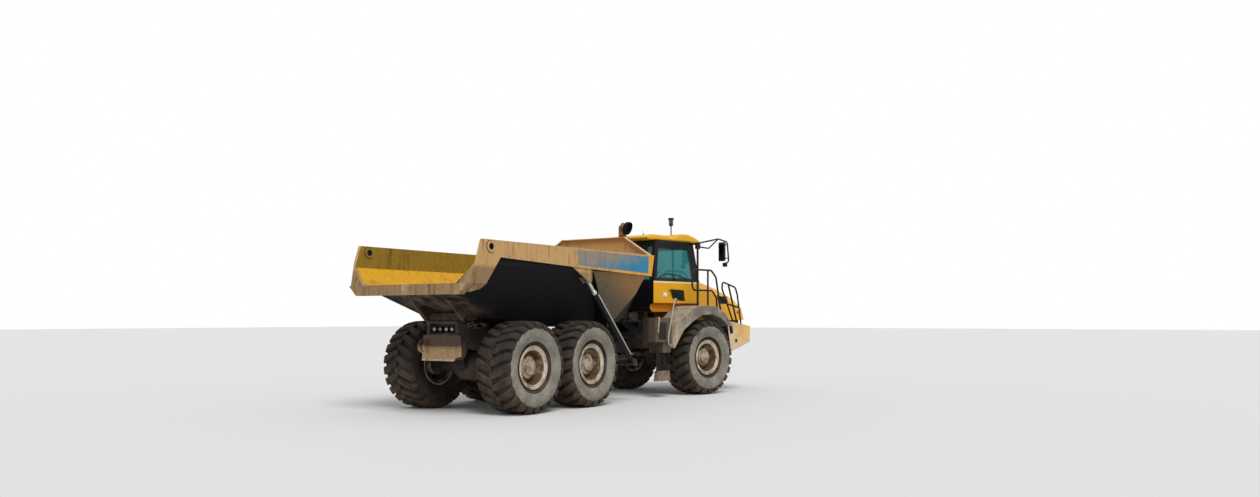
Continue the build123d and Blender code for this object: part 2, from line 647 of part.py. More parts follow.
def headboard():
    """Spill guard over the front wall, with a flange along its top and its sloped ends."""
    base_half, top_half = BED_HALF_WIDTH - 30, GUARD_TOP_HALF
    front, back = HEADBOARD_X, HEADBOARD_X - HEADBOARD_FLANGE
    low, high = BED_TOP_Z, GUARD_TOP_Z
    sheet = along([(base_half, low), (top_half, high), (-top_half, high), (-base_half, low)],
                  front, front + HEADBOARD_THICK)
    flange = along([(base_half, low), (top_half, high), (top_half - 30, high), (base_half - 52, low)],
                   back, front)
    top = along([(top_half, high), (top_half, high - 16), (-top_half, high - 16), (-top_half, high)],
                back, front)
    return union([sheet, top] + both(flange))


# Tipping cylinders

def hoist_line():
    return Vector(*HOIST_FOOT), Vector(*HOIST_TOP)


def hoist_barrel():
    foot, top = hoist_line()
    span = (top - foot).length
    neck = bar(toward(foot, top, HOIST_EYE_RADIUS - 12), toward(foot, top, HOIST_NECK + 5),
               HOIST_ROD_RADIUS)
    end = toward(foot, top, span * HOIST_BARREL_SHARE)
    body = bar(toward(foot, top, HOIST_NECK), end, HOIST_BARREL_RADIUS)
    inside = bore(toward(foot, top, HOIST_NECK + 30), toward(foot, top, span), HOIST_SLEEVE_RADIUS + RUN_GAP)
    gland = bar(toward(foot, top, span * HOIST_BARREL_SHARE - 60), end, HOIST_BARREL_RADIUS + 8)
    ring = cross_bar(foot.X, foot.Z, foot.Y - HOIST_EYE_WIDTH / 2, foot.Y + HOIST_EYE_WIDTH / 2,
                     HOIST_EYE_RADIUS)
    hole = cross_bore(foot.X, foot.Z, foot.Y - 90, foot.Y + 90, HOIST_PIN_RADIUS + RUN_GAP)
    return (union([neck, body, gland]) - inside + ring) - hole


def hoist_sleeve():
    """The middle stage, a tube that slides in the barrel."""
    foot, top = hoist_line()
    span = (top - foot).length
    body = bar(toward(foot, top, HOIST_NECK + 50), toward(foot, top, span * HOIST_BARREL_SHARE + 60),
               HOIST_SLEEVE_RADIUS)
    inside = bore(toward(foot, top, HOIST_NECK + 90), toward(foot, top, span), HOIST_ROD_RADIUS + RUN_GAP)
    return body - inside


def hoist_rod():
    foot, top = hoist_line()
    span = (top - foot).length
    body = bar(toward(foot, top, HOIST_NECK + 110), toward(foot, top, span - HOIST_EYE_RADIUS + 10),
               HOIST_ROD_RADIUS)
    ring = cross_bar(top.X, top.Z, top.Y - HOIST_EYE_WIDTH / 2, top.Y + HOIST_EYE_WIDTH / 2,
                     HOIST_EYE_RADIUS)
    hole = cross_bore(top.X, top.Z, top.Y - 90, top.Y + 90, HOIST_PIN_RADIUS + RUN_GAP)
    return (body + ring) - hole


# Hitch and steering

def hitch():
    """Roll bearing shaft at the rear, steering boss at the front, an ear for each rod."""
    x0, x1 = ROLL_RING_X + RUN_GAP, PIVOT_X
    disc = bar((x0, 0, ROLL_Z), (x0 + 46, 0, ROLL_Z), ROLL_RING_RADIUS - 6)
    drum = bar((x0 + 40, 0, ROLL_Z), (x0 + 330, 0, ROLL_Z), 185)
    plan = [(x0 + 300, -165), (x1 - 60, -92), (x1, -92), (x1, 92), (x1 - 60, 92), (x0 + 300, 165)]
    neck = upward(plan, ROLL_Z - 150, ROLL_Z + 150)
    boss = upright(x1, 0, ROLL_Z - HITCH_BOSS_HALF, ROLL_Z + HITCH_BOSS_HALF, HITCH_BOSS_RADIUS)
    hole = upright_bore(x1, 0, ROLL_Z - 300, ROLL_Z + 300, HITCH_PIN_RADIUS + RUN_GAP)
    return union([disc, drum, neck, boss] + steering_ears()) - hole


def steering_ears():
    ear_x, ear_y = PIVOT_X + STEER_EAR[0], STEER_EAR[1]
    gap = STEER_EYE_WIDTH / 2 + 5
    ears = []
    for z_from, z_to in ((STEER_Z - gap - STEER_PLATE, STEER_Z - gap),
                         (STEER_Z + gap, STEER_Z + gap + STEER_PLATE)):
        outline = [(ear_x - 300, 60), (ear_x - 260, 150), (ear_x - 70, ear_y + 42),
                   (ear_x + 30, ear_y + 46), (ear_x + 46, ear_y - 30), (ear_x + 40, 60)]
        ears += both(upward(outline, z_from, z_to))
    return ears


def front_frame():
    """Two beams, the pivot fork behind, the bulkhead, and brackets at the nose."""
    y_out, y_in = FRONT_BEAM_OUTER_Y, FRONT_BEAM_OUTER_Y - FRONT_BEAM_WEB
    x0, x1 = FRONT_BEAM_REAR_X, FRONT_BEAM_FRONT_X
    low, high = FRONT_BEAM_BOTTOM_Z, FRONT_BEAM_TOP_Z
    side = [(x0, low), (5450, low), (5600, low + 90), (6100, low + 90), (6300, low),
            (x1, low + 60), (x1, high - 60), (6500, high - 40), (5300, high), (x0, high)]
    parts = both(across(side, y_in, y_out))
    # Pivot fork: two thick lugs round the hitch's boss, with the pin through them.
    lug_gap = HITCH_BOSS_HALF + HITCH_LUG_GAP
    for z_near, z_far in ((ROLL_Z + lug_gap, ROLL_Z + lug_gap + HITCH_LUG_THICK),
                          (ROLL_Z - lug_gap - HITCH_LUG_THICK, ROLL_Z - lug_gap)):
        wedge = upward([(PIVOT_X, -HITCH_LUG_RADIUS), (x0 + 60, -210), (x0 + 60, 210),
                        (PIVOT_X, HITCH_LUG_RADIUS)], z_near, z_far)
        parts += [wedge, upright(PIVOT_X, 0, z_near, z_far, HITCH_LUG_RADIUS)]
    top, bottom = ROLL_Z + lug_gap + HITCH_LUG_THICK, ROLL_Z - lug_gap - HITCH_LUG_THICK
    parts.append(bar((PIVOT_X, 0, bottom - 14), (PIVOT_X, 0, top + 14), HITCH_PIN_RADIUS))
    # Bulkhead between the beams, narrow below where the steering cylinders pass.
    parts.append(block(x0, x0 + 70, -y_out, y_out, low, high))
    parts.append(block(x0, x0 + 70, -200, 200, bottom, low))
    for x, z, radius in ((5200, 1250, 70), (6350, 1180, 70), (7300, 1170, 70)):
        parts.append(cross_bar(x, z, -y_in, y_in, radius))
    parts += both(steering_anchor())
    parts += both(cab_foot(4850))
    parts += both(cab_foot(5950))
    parts += both(bonnet_bracket())
    parts += both(bumper_bracket())
    parts += service_deck()
    return union(parts)


def steering_anchor():
    """Fork on the outside of a beam that holds the foot of a steering cylinder."""
    x, y = PIVOT_X + STEER_ANCHOR[0], STEER_ANCHOR[1]
    gap = STEER_EYE_WIDTH / 2 + 5
    plan = [(x - 40, FRONT_BEAM_OUTER_Y - 40), (x - 45, y + 40), (x + 30, y + 50),
            (x + 90, y), (x + 120, FRONT_BEAM_OUTER_Y - 40)]
    parts = []
    for z_from, z_to in ((STEER_Z - gap - STEER_PLATE, STEER_Z - gap),
                         (STEER_Z + gap, STEER_Z + gap + STEER_PLATE)):
        parts.append(upward(plan, z_from, z_to))
    parts.append(block(x + 70, x + 120, FRONT_BEAM_OUTER_Y - 60, y + 8,
                       STEER_Z - gap - STEER_PLATE, FRONT_BEAM_BOTTOM_Z + 30))
    reach = gap + STEER_PLATE
    parts.append(bar((x, y, STEER_Z - reach), (x, y, STEER_Z + reach), STEER_PIN_RADIUS))
    return union(parts)


def cab_foot(x):
    """Rubber-mounted foot from a frame beam up to the cab's floor."""
    outline = [(x - 70, FRONT_BEAM_TOP_Z - 60), (x + 70, FRONT_BEAM_TOP_Z - 60),
               (x + 45, CAB_FLOOR_Z), (x - 45, CAB_FLOOR_Z)]
    return across(outline, FRONT_BEAM_OUTER_Y - 90, FRONT_BEAM_OUTER_Y)


def bonnet_bracket():
    x, z = BONNET_HINGE_X, BONNET_HINGE_Z
    outline = [(FRONT_BEAM_FRONT_X - 150, 1130), (FRONT_BEAM_FRONT_X + 60, 1130), (x + 24, z - 10),
               (x + 10, z + 18), (x - 20, z + 12), (FRONT_BEAM_FRONT_X - 60, 1280)]
    tip_y = BRACKET_Y[1] + BONNET_EAR_THICK + 8
    return across(outline, *BRACKET_Y) + bar((x, BRACKET_Y[0], z), (x, tip_y, z), BONNET_PIN_RADIUS)


def bonnet_ear():
    """Ear inside the bonnet's front wall that turns on the bracket's pin."""
    x, z = BONNET_HINGE_X, BONNET_HINGE_Z
    y_in = BRACKET_Y[1] + RUN_GAP
    foot = BONNET_BOTTOM_Z
    outline = [(x + 75, foot), (x + 70, foot + 85), (x + 58, foot + 85), (x - 26, z + 8), (x - 14, z - 24),
               (x + 14, z - 24), (x + 40, foot)]
    hole = cross_bore(x, z, y_in - 1, y_in + BONNET_EAR_THICK + 1, BONNET_PIN_RADIUS + RUN_GAP)
    return across(outline, y_in, y_in + BONNET_EAR_THICK) - hole


def bumper_bracket():
    return block(FRONT_BEAM_FRONT_X - 120, BUMPER_FRONT_X - BUMPER_WALL, 395, 428, 1110, 1260)


def service_deck():
    """Deck behind the cab that carries the exhaust and the oil tank."""
    deck = upward([(4215, -480), (4600, -620), (4600, 620), (4215, 480)], 1560, 1600)
    legs = both(across([(4290, 1562), (4560, 1562), (4760, 1330), (4700, 1280)], 300, 420))
    tank = upward([(4300, -100), (4585, -100), (4585, 600), (4300, 460)], 1599, 2380)
    return [deck, tank] + legs


def steering_line():
    """Foot and rod-eye centres of the left steering cylinder as the machine stands."""
    turn = math.radians(STEER_REST_DEG)
    ear = Vector(*STEER_EAR)
    # The ear stays with the hitch, so it is turned back into the front half's own frame.
    ear_x = ear.X * math.cos(turn) - ear.Y * math.sin(turn)
    ear_y = ear.X * math.sin(turn) + ear.Y * math.cos(turn)
    mirror_x = ear.X * math.cos(turn) + ear.Y * math.sin(turn)
    mirror_y = -(ear.X * math.sin(turn) - ear.Y * math.cos(turn))
    return {
        "left": (Vector(PIVOT_X + STEER_ANCHOR[0], STEER_ANCHOR[1], STEER_Z),
                 Vector(PIVOT_X + ear_x, ear_y, STEER_Z)),
        "right": (Vector(PIVOT_X + STEER_ANCHOR[0], -STEER_ANCHOR[1], STEER_Z),
                  Vector(PIVOT_X + mirror_x, -mirror_y, STEER_Z)),
    }


def steering_cylinder(side):
    """Barrel and rod along the line between the pins."""
    foot, top = steering_line()[side]
    half = STEER_EYE_WIDTH / 2
    barrel_end = toward(foot, top, STEER_BARREL_END)
    body = union([bar(toward(foot, top, STEER_EYE_RADIUS - 8), toward(foot, top, STEER_NECK + 5),
                      STEER_EYE_WIDTH / 2),
                  bar(toward(foot, top, STEER_NECK), barrel_end, STEER_BARREL_RADIUS)])
    inside = bore(toward(foot, top, STEER_NECK + 30), toward(foot, top, 900), STEER_ROD_RADIUS + RUN_GAP)
    ring = upright(foot.X, foot.Y, STEER_Z - half, STEER_Z + half, STEER_EYE_RADIUS)
    hole = upright_bore(foot.X, foot.Y, STEER_Z - 90, STEER_Z + 90, STEER_PIN_RADIUS + RUN_GAP)
    barrel = ((body - inside) + ring) - hole
    shaft = bar(toward(top, foot, STEER_ROD_LENGTH), toward(top, foot, 30), STEER_ROD_RADIUS)
    tip = upright(top.X, top.Y, STEER_Z - half, STEER_Z + half, STEER_EYE_RADIUS - 6)
    tip_hole = upright_bore(top.X, top.Y, STEER_Z - 90, STEER_Z + 90, STEER_PIN_RADIUS + RUN_GAP)
    rod = (shaft + tip) - tip_hole
    return barrel, rod


# Front axle, engine and what hangs on the front frame

def front_axle():
    housing = axle_housing(FRONT_AXLE_X, False)
    x, top = FRONT_AXLE_X, FRONT_BEAM_BOTTOM_Z + 90
    struts = []
    for offset in (-150, 150):
        strut = upright(x + offset, FRONT_BEAM_OUTER_Y - 50, TYRE_RADIUS + 60, top - RUN_GAP, STRUT_RADIUS)
        struts += both(strut)
    saddle = block(x - 220, x + 220, FRONT_BEAM_OUTER_Y - 110, FRONT_BEAM_OUTER_Y + 10,
                   TYRE_RADIUS - 20, TYRE_RADIUS + 80)
    return union([housing] + struts + both(saddle))


def engine():
    """The engine and its gearbox as one block at their real place."""
    block_outline = [(5500, 1130), (6350, 1080), (7180, 1080), (7180, 1930), (6420, 1930),
                     (6320, 1480), (5500, 1400)]
    y = FRONT_BEAM_OUTER_Y - FRONT_BEAM_WEB - SEAT_GAP
    body = across(block_outline, -y, y)
    for x, z, radius in ((5200, 1250, 70), (6350, 1180, 70), (7300, 1170, 70)):
        body -= cross_bore(x, z, -y, y, radius + SEAT_GAP)
    return body


def bumper():
    """Heavy wrap-round bumper: closed front, open behind, its ends cut to the ground line."""
    plan = [(BUMPER_REAR_X, -BUMPER_HALF_WIDTH), (BUMPER_CORNER_X, -BUMPER_HALF_WIDTH + 20),
            (BUMPER_FRONT_X, -BUMPER_NOSE_HALF), (BUMPER_FRONT_X, BUMPER_NOSE_HALF),
            (BUMPER_CORNER_X, BUMPER_HALF_WIDTH - 20), (BUMPER_REAR_X, BUMPER_HALF_WIDTH)]
    side = [(BUMPER_REAR_X, 1590), (BUMPER_CORNER_X - 40, 1475), (BUMPER_FRONT_X, 1440),
            (BUMPER_FRONT_X, 1130), (BUMPER_CORNER_X, 1105), (BUMPER_REAR_X + 140, 894)]
    outer = upward(plan, 800, 1600) & across(side, -1500, 1500)
    inner_plan = [(BUMPER_REAR_X - 1, -BUMPER_HALF_WIDTH + BUMPER_WALL),
                  (BUMPER_CORNER_X - 10, -BUMPER_HALF_WIDTH + BUMPER_WALL + 20),
                  (BUMPER_FRONT_X - BUMPER_WALL, -BUMPER_NOSE_HALF + 30),
                  (BUMPER_FRONT_X - BUMPER_WALL, BUMPER_NOSE_HALF - 30),
                  (BUMPER_CORNER_X - 10, BUMPER_HALF_WIDTH - BUMPER_WALL - 20),
                  (BUMPER_REAR_X - 1, BUMPER_HALF_WIDTH - BUMPER_WALL)]
    hollow = upward(inner_plan, 700, 1432)
    middle = upward([(x, y * 0.76) for x, y in inner_plan], 1400, 1700)
    tow_hole = cross_bar(BUMPER_REAR_X + 330, 1139, -1500, 1500, 26)
    return outer - hollow - middle - tow_hole


def fender():
    """Moulded arch over a front tyre, with its flat top and drooping rear skirt."""
    x, z = FRONT_AXLE_X, TYRE_RADIUS
    outline = [(4740, 1010), (4680, 1065), (4680, 1200), (4775, 1480), (5235, 1818), (5420, 1895),
               (5750, 1914), (6080, 1900), (6400, 1740), (6640, 1470)]
    rise = [(x + radius * math.cos(math.radians(turn)), z + radius * math.sin(math.radians(turn)))
            for turn, radius in ARCH]
    shape = across(outline + rise, FENDER_INNER_Y, FENDER_OUTER_Y)
    # The underside is open behind the outer lip.
    hollow = [(x + (radius + ARCH_LIP) * math.cos(math.radians(turn)),
               z + (radius + ARCH_LIP) * math.sin(math.radians(turn))) for turn, radius in ARCH]
    return shape - across(hollow + [(4900, 1080), (x, z), (6700, 1300)], FENDER_INNER_Y - 1, FENDER_OUTER_Y - 30)


# Step boxes: plan of each box, cut at 45 degrees inboard so that the machine can fold.

STEP_FRONT_X = 4680.0 - SEAT_GAP
STEP_PLAN = [(4190, 1430), (STEP_FRONT_X, 1430), (STEP_FRONT_X, 640), (4610, 640), (4190, 1230)]


def step_box():
    """Tank and steps between the fender and the pivot, on brackets from the front frame."""
    box = upward(STEP_PLAN, 1150, 1650)
    lower = block(4450, STEP_FRONT_X, 1000, 1400, 930, 1150)
    tread = block(4200, 4600, 1400, 1440, 1150, 1180)
    arm = block(STEP_FRONT_X - 20, 4790, 640, 700, 1200, 1290) + block(
        FRONT_BEAM_REAR_X + 10, 4790, FRONT_BEAM_OUTER_Y, 700, 1200, 1290)
    # The lowest step hangs on two straps, so that it gives way on rough ground.
    low_step = across([(4330, 560), (4650, 560), (4670, 350), (4290, 350)], 1270, 1400)
    straps = [block(x, x + 30, 1370, 1390, 555, 935) for x in (4460, 4620)]
    return union([box, lower, tread, arm, low_step] + straps)


def grab_loops(top):
    """Pale grab loops beside the steps; the front one's height clears the door on the left."""
    y = 1446.0
    front = tube([(4800, y + 20, top - 90), (4690, y + 60, top), (4490, y + 60, 1250), (4640, y + 60, 1050),
                  (4725, y, 1085)], LOOP_TUBE_RADIUS)
    rear = tube([(4260, y - 22, 1640), (4230, y + 50, 1660), (4200, y + 50, 1360), (4260, y - 22, 1330)],
                LOOP_TUBE_RADIUS)
    return [front - fender() - step_box(), rear - step_box()]


def cab_outline(wall):
    """Side outline of the cab, moved in by a wall."""
    corners = [(CAB_REAR_X + 60, CAB_FLOOR_Z), (CAB_FRONT_X - 20, CAB_FLOOR_Z),
               (CAB_FRONT_X, CAB_WAIST_Z), (CAB_TOP_FRONT_X, CAB_TOP_Z),
               (CAB_TOP_REAR_X, CAB_TOP_Z), (CAB_REAR_X, CAB_WAIST_Z), (CAB_REAR_X, CAB_FLOOR_Z + 60)]
    if not wall:
        return corners
    closed = corners + corners[:2]
    return inset(closed, wall)[1:-1]


def cab_box(wall):
    """The cab's closed form, its skin moved in by a wall; it steps in above the fenders."""
    half, keel = CAB_HALF_WIDTH - wall, CAB_KEEL_HALF - wall
    step = CAB_STEP_Z + wall
    section = [(half, 3400), (half, step + 40), (keel, step), (keel, 1700),
               (-keel, 1700), (-keel, step), (-half, step + 40), (-half, 3400)]
    return across(cab_outline(wall), -half, half) & along(section, 4500, 6300)


def cab_skin(wall):
    """The cab's whole wall, closed all round."""
    return cab_box(0.0) - cab_box(wall)


def side_window(grow):
    """Outline of the fixed window on the right side, grown by a gap."""
    return [(4730 - grow, CAB_SILL_Z - grow), (5905 + grow, CAB_SILL_Z - grow),
            (5745 + grow, WINDOW_TOP_Z + grow), (4790 - grow, WINDOW_TOP_Z + grow)]


def end_window(grow):
    """Section of the windscreen and the rear window, grown by a gap."""
    half = CAB_HALF_WIDTH - 90 + grow
    return [(-half, CAB_SILL_Z + 20 - grow), (half, CAB_SILL_Z + 20 - grow),
            (half, WINDOW_TOP_Z + 40 + grow), (-half, WINDOW_TOP_Z + 40 + grow)]


def door_outline(grow):
    return [(DOOR_REAR_X - grow, DOOR_BOTTOM_Z - grow), (DOOR_FRONT_X + grow, DOOR_BOTTOM_Z - grow),
            (DOOR_FRONT_X + grow, DOOR_TOP_Z + grow), (DOOR_REAR_X - grow, DOOR_TOP_Z + grow)]


def quarter_window(grow):
    """Small window between the door and the windscreen post, on the left side."""
    return [(DOOR_FRONT_X + 60 - grow, CAB_SILL_Z - grow), (5905 + grow, CAB_SILL_Z - grow),
            (5745 + grow, WINDOW_TOP_Z + grow), (DOOR_FRONT_X + 60 - grow, WINDOW_TOP_Z + grow)]


def window_prisms(grow):
    """Each pane as a prism through its wall: right side, left quarter, windscreen, rear."""
    out = CAB_HALF_WIDTH + 20
    deep = CAB_HALF_WIDTH - 80
    return [across(side_window(grow), -out, -deep),
            across(quarter_window(grow), deep, out),
            along(end_window(grow), 5600, CAB_FRONT_X + 40),
            along(end_window(grow), CAB_REAR_X - 20, 4780)]


def cab_shell():
    skin = cab_skin(CAB_WALL)
    for prism in window_prisms(0.0):
        skin -= prism
    skin -= across(door_outline(SWING_GAP), CAB_HALF_WIDTH - 80, CAB_HALF_WIDTH + 20)
    # Bored knuckles for the door's pins, on the rear post.
    for z in DOOR_HINGE_Z:
        skin += block(DOOR_REAR_X - 90, DOOR_REAR_X - SWING_GAP - 2, CAB_HALF_WIDTH - 10,
                      DOOR_HINGE_Y + DOOR_KNUCKLE, z - 30, z + 30)
        skin += block(DOOR_REAR_X - 90, DOOR_REAR_X + DOOR_KNUCKLE, DOOR_HINGE_Y - DOOR_KNUCKLE,
                      DOOR_HINGE_Y + DOOR_KNUCKLE, z - 30, z + 30)
        skin -= upright_bore(DOOR_REAR_X, DOOR_HINGE_Y, z - 31, z + 31, DOOR_PIN_RADIUS + RUN_GAP)
    # Louvred inlet let into the lower side panel.
    skin -= block(5090, 5550, -CAB_HALF_WIDTH - 1, -CAB_HALF_WIDTH + 25, 2040, 2250)
    return skin


def cab_glass():
    pane = cab_box(GLASS_THICK) - cab_box(2 * GLASS_THICK)
    panes = []
    for prism in window_prisms(-SEAT_GAP):
        panes += (pane & prism).solids()
    return panes


def cab_vent():
    """Louvres in the recess of the right lower panel."""
    slats = []
    for count in range(4):
        z = 2062 + 50 * count
        slats.append(across([(5100, z), (5540, z), (5540, z + 26), (5100, z + 26)],
                            -CAB_HALF_WIDTH + 2, -CAB_HALF_WIDTH + 25))
    return slats


def door():
    panel = cab_skin(CAB_WALL) & across(door_outline(0.0), CAB_HALF_WIDTH - 79, CAB_HALF_WIDTH + 19)
    opening = [(DOOR_REAR_X + DOOR_FRAME, CAB_SILL_Z), (DOOR_FRONT_X - DOOR_FRAME, CAB_SILL_Z),
               (DOOR_FRONT_X - DOOR_FRAME, WINDOW_TOP_Z), (DOOR_REAR_X + DOOR_FRAME, WINDOW_TOP_Z)]
    panel -= across(opening, CAB_HALF_WIDTH - 100, CAB_HALF_WIDTH + 20)
    # Hinge leaves on top of the knuckles, each with its pin.
    for z in DOOR_HINGE_Z:
        x_from, x_to = DOOR_REAR_X - DOOR_KNUCKLE, DOOR_REAR_X + 70
        y_from, y_to = DOOR_HINGE_Y - DOOR_KNUCKLE, DOOR_HINGE_Y + DOOR_KNUCKLE
        panel += upward([(x_from, y_from), (x_to - 50, y_from), (x_to - 50, CAB_HALF_WIDTH - 10),
                         (x_to, CAB_HALF_WIDTH - 10), (x_to, y_to), (x_from, y_to)],
                        z + 30 + RUN_GAP, z + 56)
        panel += bar((DOOR_REAR_X, DOOR_HINGE_Y, z - 30), (DOOR_REAR_X, DOOR_HINGE_Y, z + 56), DOOR_PIN_RADIUS)
    return panel


def door_glass():
    opening = [(DOOR_REAR_X + DOOR_FRAME + SEAT_GAP, CAB_SILL_Z + SEAT_GAP),
               (DOOR_FRONT_X - DOOR_FRAME - SEAT_GAP, CAB_SILL_Z + SEAT_GAP),
               (DOOR_FRONT_X - DOOR_FRAME - SEAT_GAP, WINDOW_TOP_Z - SEAT_GAP),
               (DOOR_REAR_X + DOOR_FRAME + SEAT_GAP, WINDOW_TOP_Z - SEAT_GAP)]
    y = CAB_HALF_WIDTH - GLASS_THICK
    return across(opening, y - GLASS_THICK, y)


def cab_roof():
    """Pressed roof cap with two humps: a low one over the rear, a higher one over the lamps."""
    low = CAB_TOP_Z + SEAT_GAP
    outline = [(4500, low), (4470, low + 60), (4640, ROOF_TOP_Z - 55), (5098, ROOF_TOP_Z - 60),
               (5268, ROOF_TOP_Z - 112), (5440, ROOF_TOP_Z - 35), (5571, ROOF_TOP_Z), (5791, ROOF_TOP_Z),
               (6014, ROOF_TOP_Z - 55), (6160, ROOF_TOP_Z - 118), (6190, low)]
    return across(outline, -ROOF_HALF_WIDTH, ROOF_HALF_WIDTH)


def cab_interior():
    """Driver's seat, console with its steering column, and the trainer's seat."""
    floor = CAB_FLOOR_Z + CAB_WALL + SEAT_GAP
    seat = union([block(5060, 5560, -130, 370, floor + 330, floor + 450),
                  across([(4980, floor + 400), (5110, floor + 420), (5060, floor + 1100), (4960, floor + 1100)],
                         -110, 350),
                  block(5150, 5450, -10, 250, floor, floor + 340)])
    console = across([(5700, floor), (6040, floor), (6060, floor + 560), (5960, floor + 640),
                      (5780, floor + 600)], -700, 700)
    column = bar((5830, 120, floor + 560), (5650, 120, floor + 770), 32)
    tilt = Vector(-0.65, 0, 0.76)
    hub = Vector(5650, 120, floor + 770)
    wheel = bar(hub - tilt * 14, hub + tilt * 14, 218) - bore(hub - tilt * 15, hub + tilt * 15, 186)
    spoke = bar(hub - Vector(0, 200, 0), hub + Vector(0, 200, 0), 13)
    return [seat, union([console, column, wheel, spoke])]


# Bonnet. Sections: place along, half width at the foot, half width at the shoulder, top height.

BONNET_SECTIONS = [(BONNET_REAR_X, 845.0, 720.0, 2500.0), (7070.0, 805.0, 660.0, 2290.0),
                   (8000.0, 740.0, 560.0, 1995.0)]


def bonnet_hull(wall):
    faces = []
    for x, foot, shoulder, top in BONNET_SECTIONS:
        right = [(x, foot - wall, BONNET_BOTTOM_Z - wall), (x, foot - wall, top - 170),
                 (x, shoulder - wall * 0.6, top - wall)]
        left = [(x, -y, z) for x, y, z in reversed(right)]
        faces.append(polygon(right + left))
    hull = loft(faces, ruled=True)
    face = inset([(BONNET_FRONT_X, BONNET_BOTTOM_Z), (7760, 2068), (7760 - 12, 2600)], wall)
    keep = [(BONNET_REAR_X - 1, BONNET_BOTTOM_Z - 100), (face[0][0], BONNET_BOTTOM_Z - 100)] + face
    return hull & across(keep + [(BONNET_REAR_X - 1, 2600)], -1000, 1000)


def bonnet():
    """One-piece tilting bonnet, open below and behind."""
    shell = bonnet_hull(0.0) - bonnet_hull(BONNET_WALL)
    shell -= block(BONNET_REAR_X - 5, BONNET_REAR_X + 30, -700, 700, BONNET_BOTTOM_Z - 5, 2440)
    # Side vents and the opening for the grille.
    shell -= across([(6880, 2165), (7310, 2115), (7310, 1970), (6945, 1970)], -1000, 1000)
    shell -= block(7500, 8100, -430, 430, 1690, 1990)
    for ear in both(bonnet_ear()):
        shell += ear
    return shell


def grille():
    """Slats let into the bonnet's front face, each leaning back with it."""
    lean = (BONNET_FRONT_X - 7760) / (2068 - BONNET_BOTTOM_Z)
    slats = []
    for count in range(GRILLE_BARS):
        z = 1705 + 48 * count
        x = BONNET_FRONT_X - (z - BONNET_BOTTOM_Z) * lean - 8
        slats.append(across([(x - 26, z), (x, z), (x - 26 * lean, z + 26), (x - 26 - 26 * lean, z + 26)],
                            SEAT_GAP - 430, 430 - SEAT_GAP))
    return slats


def headlamps():
    """Round lamps let into the bumper's slanted corners."""
    lamps = []
    middle = Vector((BUMPER_CORNER_X + BUMPER_FRONT_X) / 2,
                    (BUMPER_HALF_WIDTH - 20 + BUMPER_NOSE_HALF) / 2, 1290)
    out = Vector(BUMPER_HALF_WIDTH - 20 - BUMPER_NOSE_HALF, BUMPER_FRONT_X - BUMPER_CORNER_X, 0).normalized()
    lamps += both(bar(middle + out * SEAT_GAP, middle + out * 26, 85))
    return lamps


def fender_on(hand):
    return fender() if hand > 0 else mirrored(fender())


def handrails():
    """Tubular rails beside the bonnet, on the fender and on the bumper."""
    y, top = 1350.0, 2680.0
    deck, step = 1905.0, 1500.0
    rails = []
    for hand, start in ((-1, 5475.0), (1, 5710.0)):
        outer = tube([(start, hand * y, 2240), (start - 60, hand * y, 2320), (start - 60, hand * y, 2600),
                      (start, hand * y, top), (6040, hand * y, top), (6200, hand * y, 2540),
                      (6370, hand * y, 1760)], RAIL_TUBE_RADIUS)
        lower = tube([(start, hand * y, 2240), (6070, hand * y, 2240), (6215, hand * y, 2090),
                      (6240, hand * y, 1850)], RAIL_TUBE_RADIUS)
        post = upright(5930, hand * y, deck - 10, top, RAIL_TUBE_RADIUS)
        rails.append(union([outer, lower, post]) - fender_on(hand))
        y2 = hand * 1225.0
        front = tube([(6965, y2, step + 20), (6560, y2, 2300), (6580, y2, 2450), (7030, y2, 2333),
                      (7100, y2, 2180), (7230, y2, step - 20)], RAIL_TUBE_RADIUS)
        middle = tube([(6780, y2, 2400), (7090, y2, step + 20)], RAIL_TUBE_RADIUS)
        cross = tube([(6745, y2, 1960), (7155, y2, 1880)], RAIL_TUBE_RADIUS)
        rails.append(union([front, middle, cross]) - bumper())
    return rails


def mirrors():
    """Upright post, bent arm and two mirror heads on each side."""
    pieces = []
    foot = tube([(5650, 1300, 1900), (5650, 1300, 3250), (5860, 940, 3262)], POST_TUBE_RADIUS)
    arm = tube([(5650, 1300, 3250), (6100, 1500, 3360), (6300, 1600, 3300), (6350, 1600, 2870),
                (6260, 1560, 2830)], LOOP_TUBE_RADIUS + 3)
    brace = tube([(5650, 1300, 3180), (5900, 1400, 3150), (6100, 1500, 3360)], LOOP_TUBE_RADIUS + 1)
    head = block(6282, 6336, 1420, 1600, 2930, 3270)
    small = block(6240, 6300, 1500, 1600, 2760, 2850)
    pieces += both(union([foot, arm, brace, head, small]) - fender() - cab_box(0.0))
    return pieces


def exhaust():
    """Silencer behind the cab, riser, and a wide outlet that faces out and a little down."""
    x, y = 4365.0, -300.0
    silencer = upright(x, y, 1600 + SEAT_GAP, 2500, 140)
    riser = upright(x, y, 2490, 3420, 85)
    out = Vector(0.27, -0.91, -0.32).normalized()
    centre = Vector(x + 15, y - 180, 3538)
    elbow = bar((x, y, 3390), centre - out * 90, 88)
    mouth = bar(centre - out * 100, centre, EXHAUST_MOUTH_RADIUS)
    hollow = bar(centre - out * 60, centre + out * 5, EXHAUST_MOUTH_RADIUS - 14)
    return union([silencer, riser, elbow, mouth]) - hollow


def beacon():
    """Warning lamp on a thin pole on the roof."""
    x, y = 5900.0, -300.0
    pole = upright(x, y, ROOF_TOP_Z - 80, 3720, 14) - cab_roof()
    lamp = upright(x, y, 3715, 3860, 45)
    top = upright(x, y, 3855, 3892, 62)
    return union([pole, lamp, top])


# Every node: name, solids, and whether it belongs to the steered front half.

